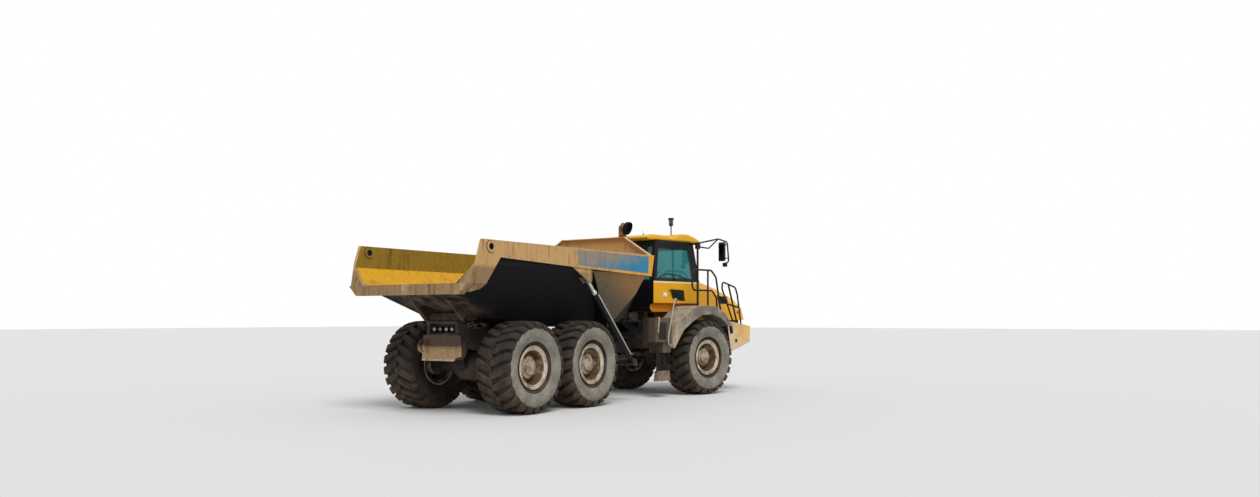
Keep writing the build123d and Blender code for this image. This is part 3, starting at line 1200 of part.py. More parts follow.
def all_nodes():
    nodes = wheels() + rear_axles()
    nodes += [("walking_beams", walking_beams(), False),
              ("rear_frame", [rear_frame()], False),
              ("tail_guard", [tail_guard()], False),
              ("tail_lamps", tail_lamps(), False),
              ("bed", [bed()], False),
              ("headboard", [headboard()], False),
              ("hitch", [hitch()], False)]
    for side, fit in (("left", lambda shape: shape), ("right", mirrored)):
        nodes += [(f"hoist_barrel_{side}", [fit(hoist_barrel())], False),
                  (f"hoist_sleeve_{side}", [fit(hoist_sleeve())], False),
                  (f"hoist_rod_{side}", [fit(hoist_rod())], False)]
        barrel, rod = steering_cylinder(side)
        nodes += [(f"steering_barrel_{side}", [barrel], True),
                  (f"steering_rod_{side}", [rod], True)]
    loops = grab_loops(DOOR_BOTTOM_Z - 50) + [mirrored(loop) for loop in grab_loops(2040.0)]
    nodes += [("front_frame", [front_frame()], True),
              ("front_axle", [front_axle()], True),
              ("engine", [engine()], True),
              ("bumper", [bumper()], True),
              ("headlamps", headlamps(), True),
              ("fenders", both(fender()), True),
              ("step_box_left", [step_box()], True),
              ("step_box_right", [mirrored(step_box())], True),
              ("grab_loops", loops, True),
              ("cab_shell", [cab_shell()], True),
              ("cab_roof", [cab_roof()], True),
              ("cab_glass", cab_glass(), True),
              ("cab_vent", cab_vent(), True),
              ("cab_interior", cab_interior(), True),
              ("door", [door()], True),
              ("door_glass", [door_glass()], True),
              ("bonnet", [bonnet()], True),
              ("grille", grille(), True),
              ("handrails", handrails(), True),
              ("mirrors", mirrors(), True),
              ("exhaust", [exhaust()], True),
              ("beacon", [beacon()], True)]
    return nodes


def steer(shape):
    """Turn a piece of the front half about the steering pivot to the machine's stance."""
    return shape.rotate(Axis((PIVOT_X, 0, 0), (0, 0, 1)), -STEER_REST_DEG)


def main():
    placed = {}
    for name, solids, in_front in all_nodes():
        placed[name] = [steer(solid) if in_front else solid for solid in solids]
    whole = Compound(children=[Compound(solids) for solids in placed.values()]).bounding_box()
    middle = whole.center()
    home = Location((-middle.X, -middle.Y, -whole.min.Z))
    os.makedirs("parts", exist_ok=True)
    for name, solids in placed.items():
        export_step(Compound([solid.moved(home) for solid in solids]), f"parts/{name}.step")
    print("machine frame to part frame:", *home.position)


main()
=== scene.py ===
import bpy
import bmesh
import math
from mathutils import Matrix, Vector


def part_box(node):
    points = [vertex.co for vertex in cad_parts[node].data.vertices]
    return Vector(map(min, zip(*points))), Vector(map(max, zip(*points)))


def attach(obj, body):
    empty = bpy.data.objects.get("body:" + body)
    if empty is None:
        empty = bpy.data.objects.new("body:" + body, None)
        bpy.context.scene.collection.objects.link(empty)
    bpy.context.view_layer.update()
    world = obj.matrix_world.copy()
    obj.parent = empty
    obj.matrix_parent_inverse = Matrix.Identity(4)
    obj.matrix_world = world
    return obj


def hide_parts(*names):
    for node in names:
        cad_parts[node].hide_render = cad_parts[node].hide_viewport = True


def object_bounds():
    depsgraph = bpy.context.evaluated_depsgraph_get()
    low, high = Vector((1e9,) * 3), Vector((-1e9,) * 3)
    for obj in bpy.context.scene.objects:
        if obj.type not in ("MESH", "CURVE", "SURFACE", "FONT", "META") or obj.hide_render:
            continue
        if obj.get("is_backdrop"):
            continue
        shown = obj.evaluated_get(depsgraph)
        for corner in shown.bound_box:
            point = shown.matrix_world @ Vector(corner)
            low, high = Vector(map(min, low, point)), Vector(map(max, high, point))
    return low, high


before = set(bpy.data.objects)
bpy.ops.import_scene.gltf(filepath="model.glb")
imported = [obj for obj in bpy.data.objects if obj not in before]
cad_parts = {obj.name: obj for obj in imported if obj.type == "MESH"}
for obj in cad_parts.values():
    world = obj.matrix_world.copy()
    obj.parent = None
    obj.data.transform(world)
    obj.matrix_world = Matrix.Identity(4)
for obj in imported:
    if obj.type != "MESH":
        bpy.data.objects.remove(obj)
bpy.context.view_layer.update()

# Stance. The machine stands on level ground with its rear half straight and its front half
# turned to the right about the steering pivot. Pieces are drawn in metres in the machine's own
# frame, X forward from the rear axle, and one of these two places puts them on the part.
REST_TURN = math.radians(-10.7)
PIVOT = Vector((4.491, 0, 0))
TYRE_RADIUS = 0.8
left_low, left_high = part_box("tyre_rear_left")
right_low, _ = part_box("tyre_rear_right")
origin = Vector(((left_low.x + left_high.x) / 2, (left_high.y + right_low.y) / 2,
    (left_low.z + left_high.z) / 2 - TYRE_RADIUS))
REAR_HALF = Matrix.Translation(origin)
FRONT_HALF = (REAR_HALF @ Matrix.Translation(PIVOT) @ Matrix.Rotation(REST_TURN, 4, "Z")
    @ Matrix.Translation(-PIVOT))


def linked(name, data):
    """A new object of the scene."""
    made = bpy.data.objects.new(name, data)
    bpy.context.scene.collection.objects.link(made)
    return made


camera_data = bpy.data.cameras.new("camera")
camera_data.sensor_width = 36
camera_data.lens = 28.254
camera_data.shift_y = 0.0311
camera_data.clip_end = 500
camera = linked("camera", camera_data)
camera.location = REAR_HALF @ Vector((-13.037, -12.1685, 1.629))
yaw, pitch = 0.5935, 0.0314
sight = Vector((math.cos(yaw) * math.cos(pitch), math.sin(yaw) * math.cos(pitch), math.sin(pitch)))
camera.rotation_mode = "QUATERNION"
camera.rotation_quaternion = sight.to_track_quat("-Z", "Y")
bpy.context.scene.camera = camera
bpy.context.scene.view_settings.view_transform = "Standard"

FLOOR_REACH = 150
floor_mesh = bpy.data.meshes.new("floor")
floor_mesh.from_pydata(
    [(x * FLOOR_REACH, y * FLOOR_REACH, 0) for x, y in ((-1, -1), (1, -1), (1, 1), (-1, 1))], [],
    [(0, 1, 2, 3)])
floor_look = bpy.data.materials.new("pale floor")
floor_look.use_nodes = True
floor_surface = floor_look.node_tree.nodes["Principled BSDF"].inputs
floor_surface["Base Color"].default_value = (0.74, 0.735, 0.72, 1)
floor_surface["Roughness"].default_value = 0.9
floor_mesh.materials.append(floor_look)
linked("floor", floor_mesh)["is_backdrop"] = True


def node(tree, kind, setup=None, *values, **named):
    """A shader node, or any by its full name: its settings, then its sockets, set or linked."""
    made = tree.nodes.new(kind if "Node" in kind else f"ShaderNode{kind}")
    for label, value in (setup or {}).items():
        setattr(made, label, value)
    sockets = list(zip(made.inputs, values))
    sockets += [(made.inputs[label.replace("_", " ")], value) for label, value in named.items()]
    for socket, value in sockets:
        if isinstance(value, bpy.types.NodeSocket):
            tree.links.new(value, socket)
        else:
            socket.default_value = (*value, 1) if socket.type == "RGBA" and len(value) == 3 else value
    return made


def sums(operation, *values):
    """A sum of numbers and sockets, in the sockets' own tree."""
    tree = next(value.id_data for value in values if isinstance(value, bpy.types.NodeSocket))
    return node(tree, "Math", {"operation": operation}, *values).outputs[0]


def times(*values):
    """The product of two values, with a third one added."""
    return sums("MULTIPLY_ADD" if len(values) == 3 else "MULTIPLY", *values)


world = bpy.data.worlds.new("studio")
world.use_nodes = True
bpy.context.scene.world = world
sky = world.node_tree
sky.nodes.clear()
rays = node(sky, "LightPath").outputs
seen = sums("MAXIMUM", rays["Is Camera Ray"], rays["Is Glossy Ray"])
seen = sums("MAXIMUM", seen, rays["Is Transmission Ray"])
dome = node(sky, "Background", Color=(0.93, 0.96, 1), Strength=0.52)
backdrop = node(sky, "Background", Color=(1, 1, 1), Strength=1)
choice = node(sky, "MixShader", None, seen, dome.outputs[0], backdrop.outputs[0])
node(sky, "OutputWorld", None, choice.outputs[0])

sun_data = bpy.data.lights.new("soft sun", "SUN")
sun_data.energy = 2.1
sun_data.angle = math.radians(28)
sun = linked("soft sun", sun_data)
sun.rotation_mode = "QUATERNION"
sun.rotation_quaternion = Vector((0.52, 0.62, -0.95)).to_track_quat("-Z", "Y")


# Tyres. Wide earthmover tyres of black rubber, moulded with deep staggered chevron lugs. The
# lugs are brown with dried mud and the smooth sidewalls have a paler coat of road dust. The rubber
# between the lugs, round the bead and over the inner side is painted darker as shade.

def shader_group(name, inputs, outputs):
    """An empty node group, its given sockets and its texture coordinates."""
    group = bpy.data.node_groups.new(name, "ShaderNodeTree")
    for label, value in inputs.items():
        kind = "NodeSocketColor" if isinstance(value, tuple) else "NodeSocketFloat"
        group.interface.new_socket(name=label, in_out="INPUT", socket_type=kind).default_value = value
    for label in outputs:
        kind = "NodeSocketColor" if label == "Colour" else "NodeSocketFloat"
        group.interface.new_socket(name=label, in_out="OUTPUT", socket_type=kind)
    return group, node(group, "NodeGroupInput").outputs, node(group, "TexCoord").outputs


def noise(scale, detail, rough, vector):
    return node(vector.id_data, "TexNoise", Vector=vector, Scale=scale, Detail=detail,
        Roughness=rough).outputs["Fac"]


def ramp(value, low, high, start=0, end=1):
    """A smooth step of a value between two levels."""
    smooth = {"interpolation_type": "SMOOTHSTEP"}
    return node(value.id_data, "MapRange", smooth, value, low, high, start, end).outputs["Result"]


def mixed(share, first, second):
    return node(share.id_data, "Mix", {"data_type": "RGBA"}, Factor=share, A=first, B=second).outputs[
        "Result"]


def scaled(colour, tone):
    return node(colour.id_data, "VectorMath", {"operation": "SCALE"}, colour, Scale=tone).outputs[0]


def caked_dirt():
    """Dust and dried mud: thick low down and on flats, patchy by a noise, over any paint."""
    group, given, place = shader_group("caked dirt",
        {"Paint": (0.5, 0.5, 0.5, 1), "Dirt": (0.2, 0.15, 0.1, 1), "Amount": 0.3, "Patch Size": 2,
        "Thick Below": 0.6, "Thin Above": 2.2, "On Flats": 0.4}, ("Colour", "Cover", "Height"))
    patches = noise(given["Patch Size"], 7, 0.62, place["Object"])
    height = node(group, "SeparateXYZ", None, place["Object"]).outputs["Z"]
    facing = node(group, "SeparateXYZ", None, place["Normal"]).outputs["Z"]
    low_down = ramp(height, given["Thin Above"], given["Thick Below"])
    total = times(low_down, 0.42, given["Amount"])
    total = times(ramp(facing, 0.3, 0.9), given["On Flats"], total)
    total = times(sums("SUBTRACT", patches, 0.5), 1.7, total)
    cover = ramp(total, 0.32, 0.78)
    fine = noise(38, 3, 0.7, place["Object"])
    tone = ramp(noise(3.1, 5, 0.6, place["Object"]), 0.3, 0.7, 0.72, 1.25)
    node(group, "NodeGroupOutput", Colour=mixed(cover, given["Paint"], scaled(given["Dirt"], tone)),
        Cover=cover, Height=times(cover, fine))
    return group


def run_off():
    """Vertical streaks of rust and wet dirt that run down from edges and bolts."""
    group, given, place = shader_group("run-off streaks",
        {"Paint": (0.5, 0.5, 0.5, 1), "Stain": (0.1, 0.06, 0.03, 1), "Amount": 0.5, "Spacing": 9},
        ("Colour",))
    stretch = node(group, "Mapping", None, place["Object"], Scale=(1, 1, 0.07)).outputs[0]
    lines = noise(given["Spacing"], 5, 0.66, stretch)
    patches = noise(1.3, 3, 0.5, place["Object"])
    share = times(ramp(lines, 0.47, 0.68), ramp(patches, 0.38, 0.62))
    cover = times(share, given["Amount"])
    node(group, "NodeGroupOutput", Colour=mixed(cover, given["Paint"], given["Stain"]))
    return group


def grain():
    """Fine speckle of stones, chips and grit, as a colour change and a height."""
    group, given, place = shader_group("grit", {"Paint": (0.5, 0.5, 0.5, 1), "Amount": 0.3, "Size": 30},
        ("Colour", "Height"))
    coarse = noise(given["Size"], 5, 0.75, place["Object"])
    lit = scaled(given["Paint"], ramp(coarse, 0.32, 0.68, 0.62, 1.38))
    node(group, "NodeGroupOutput", Colour=mixed(given["Amount"], given["Paint"], lit), Height=coarse)
    return group


CAKED, STREAKED, GRITTY = caked_dirt(), run_off(), grain()


def filled(tree, group, **values):
    """The outputs of a group placed in a material, its sockets set to values or linked."""
    return node(tree, "Group", {"node_tree": group}, **values).outputs


def dusted(name, paint, dirt, cover, fade, flats, rough, **sockets):
    """A look under dirt, as (look, tree, surface, dirt's outputs). Paint is a colour, or a function
    that draws one. Cover is how much and how large, fade the heights of thick and of thin dirt."""
    look = bpy.data.materials.new(name)
    look.use_nodes = True
    tree = look.node_tree
    surface = tree.nodes["Principled BSDF"].inputs
    dirty = filled(tree, CAKED, Paint=paint(tree) if callable(paint) else paint, Dirt=dirt, Amount=cover[0],
        Patch_Size=cover[1], Thick_Below=fade[0], Thin_Above=fade[1], On_Flats=flats)
    tree.links.new(dirty["Colour"], surface["Base Color"])
    if rough:
        tree.links.new(ramp(dirty["Cover"], 0, 1, *rough), surface["Roughness"])
    for label, value in sockets.items():
        surface[label.replace("_", " ")].default_value = value
    return look, tree, surface, dirty


def weathered(name, paint, dirt, cover=(0.2, 2), fade=(0.6, 2.2), flats=0.4, stain=(0.07, 0.035, 0.015),
    streaks=(0, 9), grit=(0.3, 30), rough=0.5, bump=0.25, metal=0, coat=0, shine=0.3):
    """Paint or rubber under dirt, run-off and grit. Streaks and grit are (amount, scale) too."""
    look, tree, surface, dirty = dusted(name, paint, dirt, cover, fade, flats, (rough, 0.93), Metallic=metal,
        Coat_Weight=coat, Specular_IOR_Level=shine)
    colour = dirty["Colour"]
    if streaks[0]:
        colour = filled(tree, STREAKED, Paint=colour, Stain=stain, Amount=streaks[0], Spacing=streaks[1])[
            "Colour"]
    speckled = filled(tree, GRITTY, Paint=colour, Amount=grit[0], Size=grit[1])
    tree.links.new(speckled["Colour"], surface["Base Color"])
    height = times(speckled["Height"], 0.35, dirty["Height"])
    relief = node(tree, "Bump", Strength=bump, Distance=0.02, Height=height)
    tree.links.new(relief.outputs[0], surface["Normal"])
    return look


def creased(mesh, doubles, change, degrees):
    """A mesh merged, changed, and smooth but where two faces meet at more than an angle."""
    shape = bmesh.new()
    shape.from_mesh(mesh)
    bmesh.ops.remove_doubles(shape, verts=shape.verts, dist=doubles)
    change(shape)
    for face in shape.faces:
        face.smooth = True
    for edge in shape.edges:
        edge.smooth = len(edge.link_faces) == 2 and edge.calc_face_angle(3.2) < math.radians(degrees)
    shape.to_mesh(mesh)
    shape.free()


def settle(piece, body, slot, *nodes):
    """What a piece moves with and the CAD nodes it stands for; the slot, the record's finish for it, is not
    used.
    """
    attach(piece, body)
    if nodes:
        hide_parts(*nodes)


def together(sets):
    """Several (corners, faces, mark) sets as one, with each face's mark."""
    corners, faces, marks = [], [], []
    for points, rings, mark in sets:
        start = len(corners)
        corners += points
        faces += [[start + i for i in ring] for ring in rings]
        marks += mark if isinstance(mark, list) else [mark] * len(rings)
    return corners, faces, marks


def piece_from(name, sets, looks, *nodes, body="front_frame", slot="black_steel", place=None, crease=32):
    """One piece of several sets, in the part's frame: doubles merged, faces outward, edges creased."""
    place = place or (FRONT_HALF if body in ("front_frame", "bonnet", "door") else REAR_HALF)
    corners, faces, marks = together(sets)
    mesh = bpy.data.meshes.new(name)
    mesh.from_pydata([tuple(place @ Vector(c)) for c in corners], [], faces)
    for look in looks:
        mesh.materials.append(look)
    mesh.polygons.foreach_set("material_index", marks)
    creased(mesh, 1e-6, lambda shape: bmesh.ops.recalc_face_normals(shape, faces=shape.faces), crease)
    settle(linked(name, mesh), body, slot, *nodes)


def lathe(profile, steps, marks=0):
    """A closed shape turned round the Y axis from (radius, y) points that start and end on it."""
    corners, faces, shades, rings = [], [], [], []
    for radius, y in profile:
        if radius < 1e-6:
            rings.append([len(corners)] * steps)
            corners.append((0, y, 0))
        else:
            rings.append(list(range(len(corners), len(corners) + steps)))
            turns = [2 * math.pi * step / steps for step in range(steps)]
            corners += [(radius * math.sin(turn), y, radius * math.cos(turn)) for turn in turns]
    for band, (near, far) in enumerate(zip(rings, rings[1:])):
        for step in range(steps):
            after = (step + 1) % steps
            ring = [near[step], near[after], far[after], far[step]]
            ring = [c for i, c in enumerate(ring) if c != ring[i - 1]]
            if len(ring) > 2:
                faces.append(ring)
                shades.append(marks[band] if isinstance(marks, list) else marks)
    return corners, faces, shades


def ring_tree():
    """Geometry Nodes: copies of a shape set round the Y axis, as lugs on a tyre or nuts on a hub."""
    tree = bpy.data.node_groups.new("set round an axle", "GeometryNodeTree")
    kinds = {"Shape": "Geometry", "Count": "Int", "Phase": "Float", "Finish": "Material"}
    keys = {label: tree.interface.new_socket(name=label, in_out="INPUT",
        socket_type=f"NodeSocket{kind}").identifier for label, kind in kinds.items()}
    tree.interface.new_socket(name="Geometry", in_out="OUTPUT", socket_type="NodeSocketGeometry")
    given = node(tree, "NodeGroupInput").outputs
    step = sums("DIVIDE", 2 * math.pi, given["Count"])
    turn = times(node(tree, "GeometryNodeInputIndex").outputs[0], step, given["Phase"])
    angles = node(tree, "CombineXYZ", Y=turn).outputs[0]
    line = node(tree, "GeometryNodeMeshLine", Count=given["Count"], Offset=(0, 0, 0)).outputs[0]
    spread = node(tree, "GeometryNodeInstanceOnPoints", Points=line, Instance=given["Shape"], Rotation=angles)
    real = node(tree, "GeometryNodeRealizeInstances", None, spread.outputs[0]).outputs[0]
    coated = node(tree, "GeometryNodeSetMaterial", Geometry=real, Material=given["Finish"]).outputs[0]
    node(tree, "NodeGroupOutput", None, coated)
    return tree, keys


ROUND_TREE, ROUND_KEYS = ring_tree()


def as_changed(holder):
    """An object's mesh as its modifiers leave it."""
    bpy.context.view_layer.update()
    return bpy.data.meshes.new_from_object(holder.evaluated_get(bpy.context.evaluated_depsgraph_get()))


def set_round(corners, faces, count, phase, look, mark):
    """A shape repeated round the Y axis, as a plain set."""
    mesh = bpy.data.meshes.new("one of a ring")
    mesh.from_pydata(corners, [], faces)
    holder = linked("one of a ring", mesh)
    spread = holder.modifiers.new("set round", "NODES")
    spread.node_group = ROUND_TREE
    for label, value in (("Count", count), ("Phase", phase), ("Finish", look)):
        spread[ROUND_KEYS[label]] = value
    whole = as_changed(holder)
    found = [tuple(v.co) for v in whole.vertices], [tuple(p.vertices) for p in whole.polygons], mark
    bpy.data.objects.remove(holder)
    bpy.data.meshes.remove(whole)
    return found


LUGS_A_SIDE = 23
LUG_RADIUS = 0.77            # leads and lengths of a lug are measured round this radius
LUG_STATIONS = [  # y, lead round the tyre, half length, outer radius, inner y, inner radius
    (-0.016, 0.08, 0.04, 0.7935, -0.016, 0.735), (0.04, 0.062, 0.05, 0.7935, 0.04, 0.735),
    (0.128, 0.026, 0.053, 0.7932, 0.128, 0.733), (0.228, -0.019, 0.058, 0.7905, 0.222, 0.728),
    (0.292, -0.045, 0.063, 0.7835, 0.284, 0.712), (0.335, -0.057, 0.065, 0.764, 0.311, 0.69),
    (0.357, -0.062, 0.06, 0.726, 0.326, 0.672), (0.3645, -0.064, 0.05, 0.682, 0.331, 0.65)]


def tyre_lug(side):
    """One tread lug: along the tread from near the middle, over the shoulder, onto the sidewall."""
    corners, faces = [], []
    for y, lead, half, outer, inner_y, inner in LUG_STATIONS:
        for reach, radius, across in ((half + 0.014, inner, inner_y), (half + 0.006, outer - 0.012, y),
            (half - 0.006, outer, y), (0.006 - half, outer, y), (-half - 0.006, outer - 0.012, y),
            (-half - 0.014, inner, inner_y)):
            turn = (lead + reach) / LUG_RADIUS
            corners.append((radius * math.sin(turn), side * across, radius * math.cos(turn)))
    for band in range(len(LUG_STATIONS) - 1):
        for start in range(band * 6, band * 6 + 5):
            faces.append([start, start + 1, start + 7, start + 6])
    faces += [[5, 4, 3, 2, 1, 0], [len(corners) - 6 + i for i in range(6)]]
    return corners, faces


TYRE_SIDE = [  # radius, y, from the bead to the middle of the tread
    (0.319, 0.248), (0.362, 0.2615), (0.386, 0.263), (0.398, 0.276), (0.42, 0.294), (0.446, 0.312),
    (0.452, 0.318), (0.462, 0.319), (0.47, 0.323), (0.51, 0.345), (0.555, 0.36), (0.59, 0.365),
    (0.632, 0.362), (0.672, 0.35), (0.702, 0.33), (0.722, 0.295), (0.735, 0.23), (0.744, 0)]

sidewall = weathered("tyre sidewall", (0.045, 0.041, 0.036), (0.225, 0.203, 0.165), (0.58, 2.3), (0.2, 2.6),
    0.1, grit=(0.45, 22), rough=0.75, bump=0.3)
tread = weathered("tyre tread", (0.027, 0.02, 0.016), (0.078, 0.053, 0.035), (0.18, 5.5), (0.05, 1.9), 0.22,
    grit=(0.55, 26), rough=0.8, bump=0.45)
# Black rubber painted darker still as shade: between the lugs, round the bead and on the inner side.
tyre_rubber_and_shade = weathered("tyre rubber and painted shade", (0.02, 0.018, 0.016), (0.06, 0.046, 0.034), (0.3, 3), (0.2, 2),
    0.1, grit=(0.5, 22), rough=0.85, bump=0.4, shine=0.15)

tyre_outline = TYRE_SIDE + [(radius, -y) for radius, y in reversed(TYRE_SIDE[:-1])] + TYRE_SIDE[:1]
# The bands round the bead, and those from the shoulder over the inner side, take the painted shade.
tyre_sets = [lathe(tyre_outline, 96, [0 if 4 < band < 13 else 2 for band in range(len(tyre_outline) - 1)])]
for side, phase in ((1, 0), (-1, 0.5)):
    tyre_sets.append(set_round(*tyre_lug(side), LUGS_A_SIDE, 2 * math.pi * phase / LUGS_A_SIDE, tread, 1))

AXLES = (("rear", 0, REAR_HALF), ("middle", 1.67, REAR_HALF), ("front", 5.851, FRONT_HALF))
SIDES = (("left", 1), ("right", -1))
HALF_TRACK = 1.142
TYRE_INBOARD = 0.027         # how far the wide tyre's middle lies inboard of its rim's
wheel_places = {}
for axle, along, half in AXLES:
    for side, hand in SIDES:
        flip = Matrix.Identity(4) if hand > 0 else Matrix.Rotation(math.pi, 4, "Z")
        wheel_places[f"{axle}_{side}"] = half @ Matrix.Translation(
            (along, hand * HALF_TRACK, TYRE_RADIUS)) @ flip
for wheel, place in wheel_places.items():
    piece_from(f"lugged_tyre_{wheel}", tyre_sets, [sidewall, tread, tyre_rubber_and_shade], f"tyre_{wheel}",
        body=f"wheel_{wheel}", slot="tyre", place=place @ Matrix.Translation((0, -TYRE_INBOARD, 0)),
        crease=38)


# Rims. Pressed and welded steel rims with a loose side ring, a deep dish and a planetary hub
# with its bolted cap. They are cream paint under dried mud, which lies thick in the dish.

def hexagon_nut(radius, y_from, y_to, size):
    """A hexagon nut on a circle round the Y axis, at the top, with a domed end."""
    corners, faces = [], []
    for y, reach in ((y_from, size), (y_to - size * 0.25, size), (y_to, size * 0.72)):
        turns = [math.pi * k / 3 for k in range(6)]
        corners += [(reach * math.sin(turn), y, radius + reach * math.cos(turn)) for turn in turns]
    for band in (0, 6):
        faces += [[band + k, band + (k + 1) % 6, band + (k + 1) % 6 + 6, band + k + 6] for k in range(6)]
    faces += [[5, 4, 3, 2, 1, 0], [12, 13, 14, 15, 16, 17]]
    return corners, faces


RIM_OUTLINE = [  # radius, y outboard, finish of the band to the next point: 0 ring, 1 dish, 2 hub
    (0, 0.2045, 2), (0.058, 0.2045, 2), (0.062, 0.198, 2), (0.118, 0.196, 2), (0.127, 0.188, 2),
    (0.13, 0.156, 2), (0.139, 0.151, 2), (0.182, 0.149, 2), (0.191, 0.142, 2), (0.194, 0.078, 1),
    (0.202, 0.056, 1), (0.214, 0.047, 1), (0.246, 0.045, 1), (0.262, 0.06, 1), (0.276, 0.11, 1),
    (0.288, 0.178, 1), (0.295, 0.226, 1), (0.3, 0.236, 0), (0.309, 0.2435, 0), (0.318, 0.2445, 0),
    (0.322, 0.238, 1), (0.326, 0.2375, 0), (0.331, 0.247, 0), (0.341, 0.2545, 0), (0.352, 0.2555, 0),
    (0.356, 0.25, 1), (0.36, 0.2505, 0), (0.364, 0.26, 0), (0.3715, 0.2618, 0), (0.3735, 0.257, 0),
    (0.37, 0.248, 1), (0.345, 0.24, 1), (0.319, 0.222, 1), (0.3175, -0.276, 1), (0.345, -0.294, 1),
    (0.3735, -0.311, 0), (0.3715, -0.3158, 0), (0.352, -0.312, 1), (0.3, -0.289, 1), (0.296, 0.012, 1),
    (0.186, 0.012, 2), (0.182, -0.2615, 2), (0, -0.2615, 2)]
RIM_NUTS = [  # radius of the circle, y from, y to, size, count
    (0.231, 0.04, 0.066, 0.0125, 20), (0.164, 0.146, 0.164, 0.0095, 16), (0.1, 0.194, 0.203, 0.0065, 10)]

rim_ring = weathered("rim ring paint", (0.6, 0.5, 0.385), (0.27, 0.195, 0.13), (0.12, 6.5), (0.1, 2.6), 0.2,
    streaks=(0.3, 20), grit=(0.35, 40), rough=0.6)
rim_dish = weathered("rim dish mud", (0.36, 0.27, 0.17), (0.085, 0.053, 0.03), (0.32, 6), (0.1, 2.4), 0.35,
    grit=(0.5, 28), rough=0.8, bump=0.5)
rim_hub = weathered("hub paint", (0.46, 0.365, 0.26), (0.175, 0.125, 0.082), (0.18, 7), (0.1, 2.6), 0.3,
    grit=(0.4, 34), rough=0.7, bump=0.35)

rim_sets = [lathe([(radius, y) for radius, y, _ in RIM_OUTLINE], 72,
    [shade for _, _, shade in RIM_OUTLINE[:-1]])]
for *nut, count in RIM_NUTS:
    rim_sets.append(set_round(*hexagon_nut(*nut), count, 0.1, rim_hub, 2))
for wheel, place in wheel_places.items():
    piece_from(f"dished_rim_{wheel}", rim_sets, [rim_ring, rim_dish, rim_hub], f"rim_{wheel}",
        body=f"wheel_{wheel}", slot="rim_cream", place=place)


# Rear frame, walking beams and axles. Welded box sections and castings, painted dark and then
# caked with mud. The tail guard is a cut plate of rubbed tan steel below a muddy box.

underside = weathered("muddy underside", (0.022, 0.02, 0.019), (0.075, 0.053, 0.036), (0.3, 3.2), (0.3, 1.9),
    0.35, grit=(0.55, 18), rough=0.75, bump=0.6)
casting = weathered("muddy casting", (0.05, 0.037, 0.028), (0.165, 0.12, 0.082), (0.3, 3.6), (0.2, 2.1),
    streaks=(0.35, 14), grit=(0.6, 16), rough=0.75, bump=0.7)


def machine_axes(tree, half=REAR_HALF):
    """A point's X, Y and Z along one half of the machine, as three sockets."""
    back = half.inverted()
    point = node(tree, "TexCoord").outputs["Object"]
    along = node(tree, "Mapping", None, point, Location=back.translation, Rotation=back.to_euler())
    return node(tree, "SeparateXYZ", None, along.outputs[0]).outputs


def guard_paint(tree):
    """Brown mud over the box above, rubbed tan steel on the plate below."""
    _, _, height = machine_axes(tree)
    steel = mixed(ramp(height, 0.945, 0.925), (0.47, 0.305, 0.155), (0.62, 0.46, 0.31))
    return mixed(ramp(height, 1.2, 1.1), (0.115, 0.08, 0.052), steel)


guard_tan = weathered("tail guard steel", guard_paint, (0.17, 0.12, 0.075), (0.14, 5), (0.2, 1.6), 0.3,
    streaks=(0.5, 22), grit=(0.45, 26), rough=0.8, bump=0.4)


def skin(name, cad_node, looks, slot, body="front_frame", edge=0, segments=2, crease=32,
    mark=lambda face: 0):
    """A merged copy of a CAD node's surface, with its edges rounded and its creases set."""
    def flats(shape):
        bmesh.ops.dissolve_limit(shape, angle_limit=math.radians(0.6), verts=shape.verts, edges=shape.edges)
        for face in shape.faces:
            face.material_index = mark(face)

    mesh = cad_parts[cad_node].data.copy()
    mesh.materials.clear()
    creased(mesh, 1e-4, flats, crease)
    for look in looks:
        mesh.materials.append(look)
    piece = linked(name, mesh)
    if edge:
        round_off = piece.modifiers.new("rounded edges", "BEVEL")
        for label, value in (("width", edge), ("segments", segments), ("limit_method", "ANGLE"),
            ("angle_limit", math.radians(28)), ("use_clamp_overlap", False), ("miter_outer", "MITER_ARC"),
            ("harden_normals", True)):
            setattr(round_off, label, value)
        whole = as_changed(piece)
        piece.modifiers.remove(round_off)
        piece.data = whole
    settle(piece, body, slot, cad_node)


for cad_node, look in (("walking_beams", casting), ("rear_axle", underside), ("middle_axle", underside),
    ("propshaft", underside)):
    skin(f"cast_{cad_node}", cad_node, [look], "frame_dark", "rear_frame", crease=50)


def frame_side(face):
    """The tail casting behind the rear axle is drier and paler than the frame before it."""
    return 1 if face.calc_center_median().x - origin.x < -0.42 else 0


skin("welded_rear_frame", "rear_frame", [underside, casting], "frame_dark", "rear_frame", crease=48,
    mark=frame_side)
skin("cut_tail_guard", "tail_guard", [guard_tan], "frame_tan", "rear_frame", edge=0.006)


# Tail lamps. Four round lamps in rubber housings, in two pairs, let into the dark recess above
# the guard. Each lens is a moulded plastic dome with fine rings.

lens_white = dusted("lamp lens", (0.5, 0.5, 0.47), (0.1, 0.08, 0.06), (0.24, 9), (0.2, 2.6), 0.3, (0.18, 0.7),
    Coat_Weight=0.4)[0]
black_trim = weathered("black painted steel", (0.012, 0.012, 0.013), (0.115, 0.095, 0.07), (0.02, 8),
    (0.8, 2), 0.25, grit=(0.25, 50), rough=0.42, bump=0.1, shine=0.2)


def toward(start, end):
    """A place whose Y axis runs from one point towards another."""
    run = Vector(end) - Vector(start)
    return Matrix.Translation(start) @ run.to_track_quat("Y", "Z").to_matrix().to_4x4()


def put(place, shape):
    corners, faces, marks = shape
    return [tuple(place @ Vector(c)) for c in corners], faces, marks


def turned(profile, steps, start, end, marks=0):
    """A lathe shape along a run, its profile in (radius, distance from the start)."""
    return put(toward(start, end), lathe(profile, steps, marks))


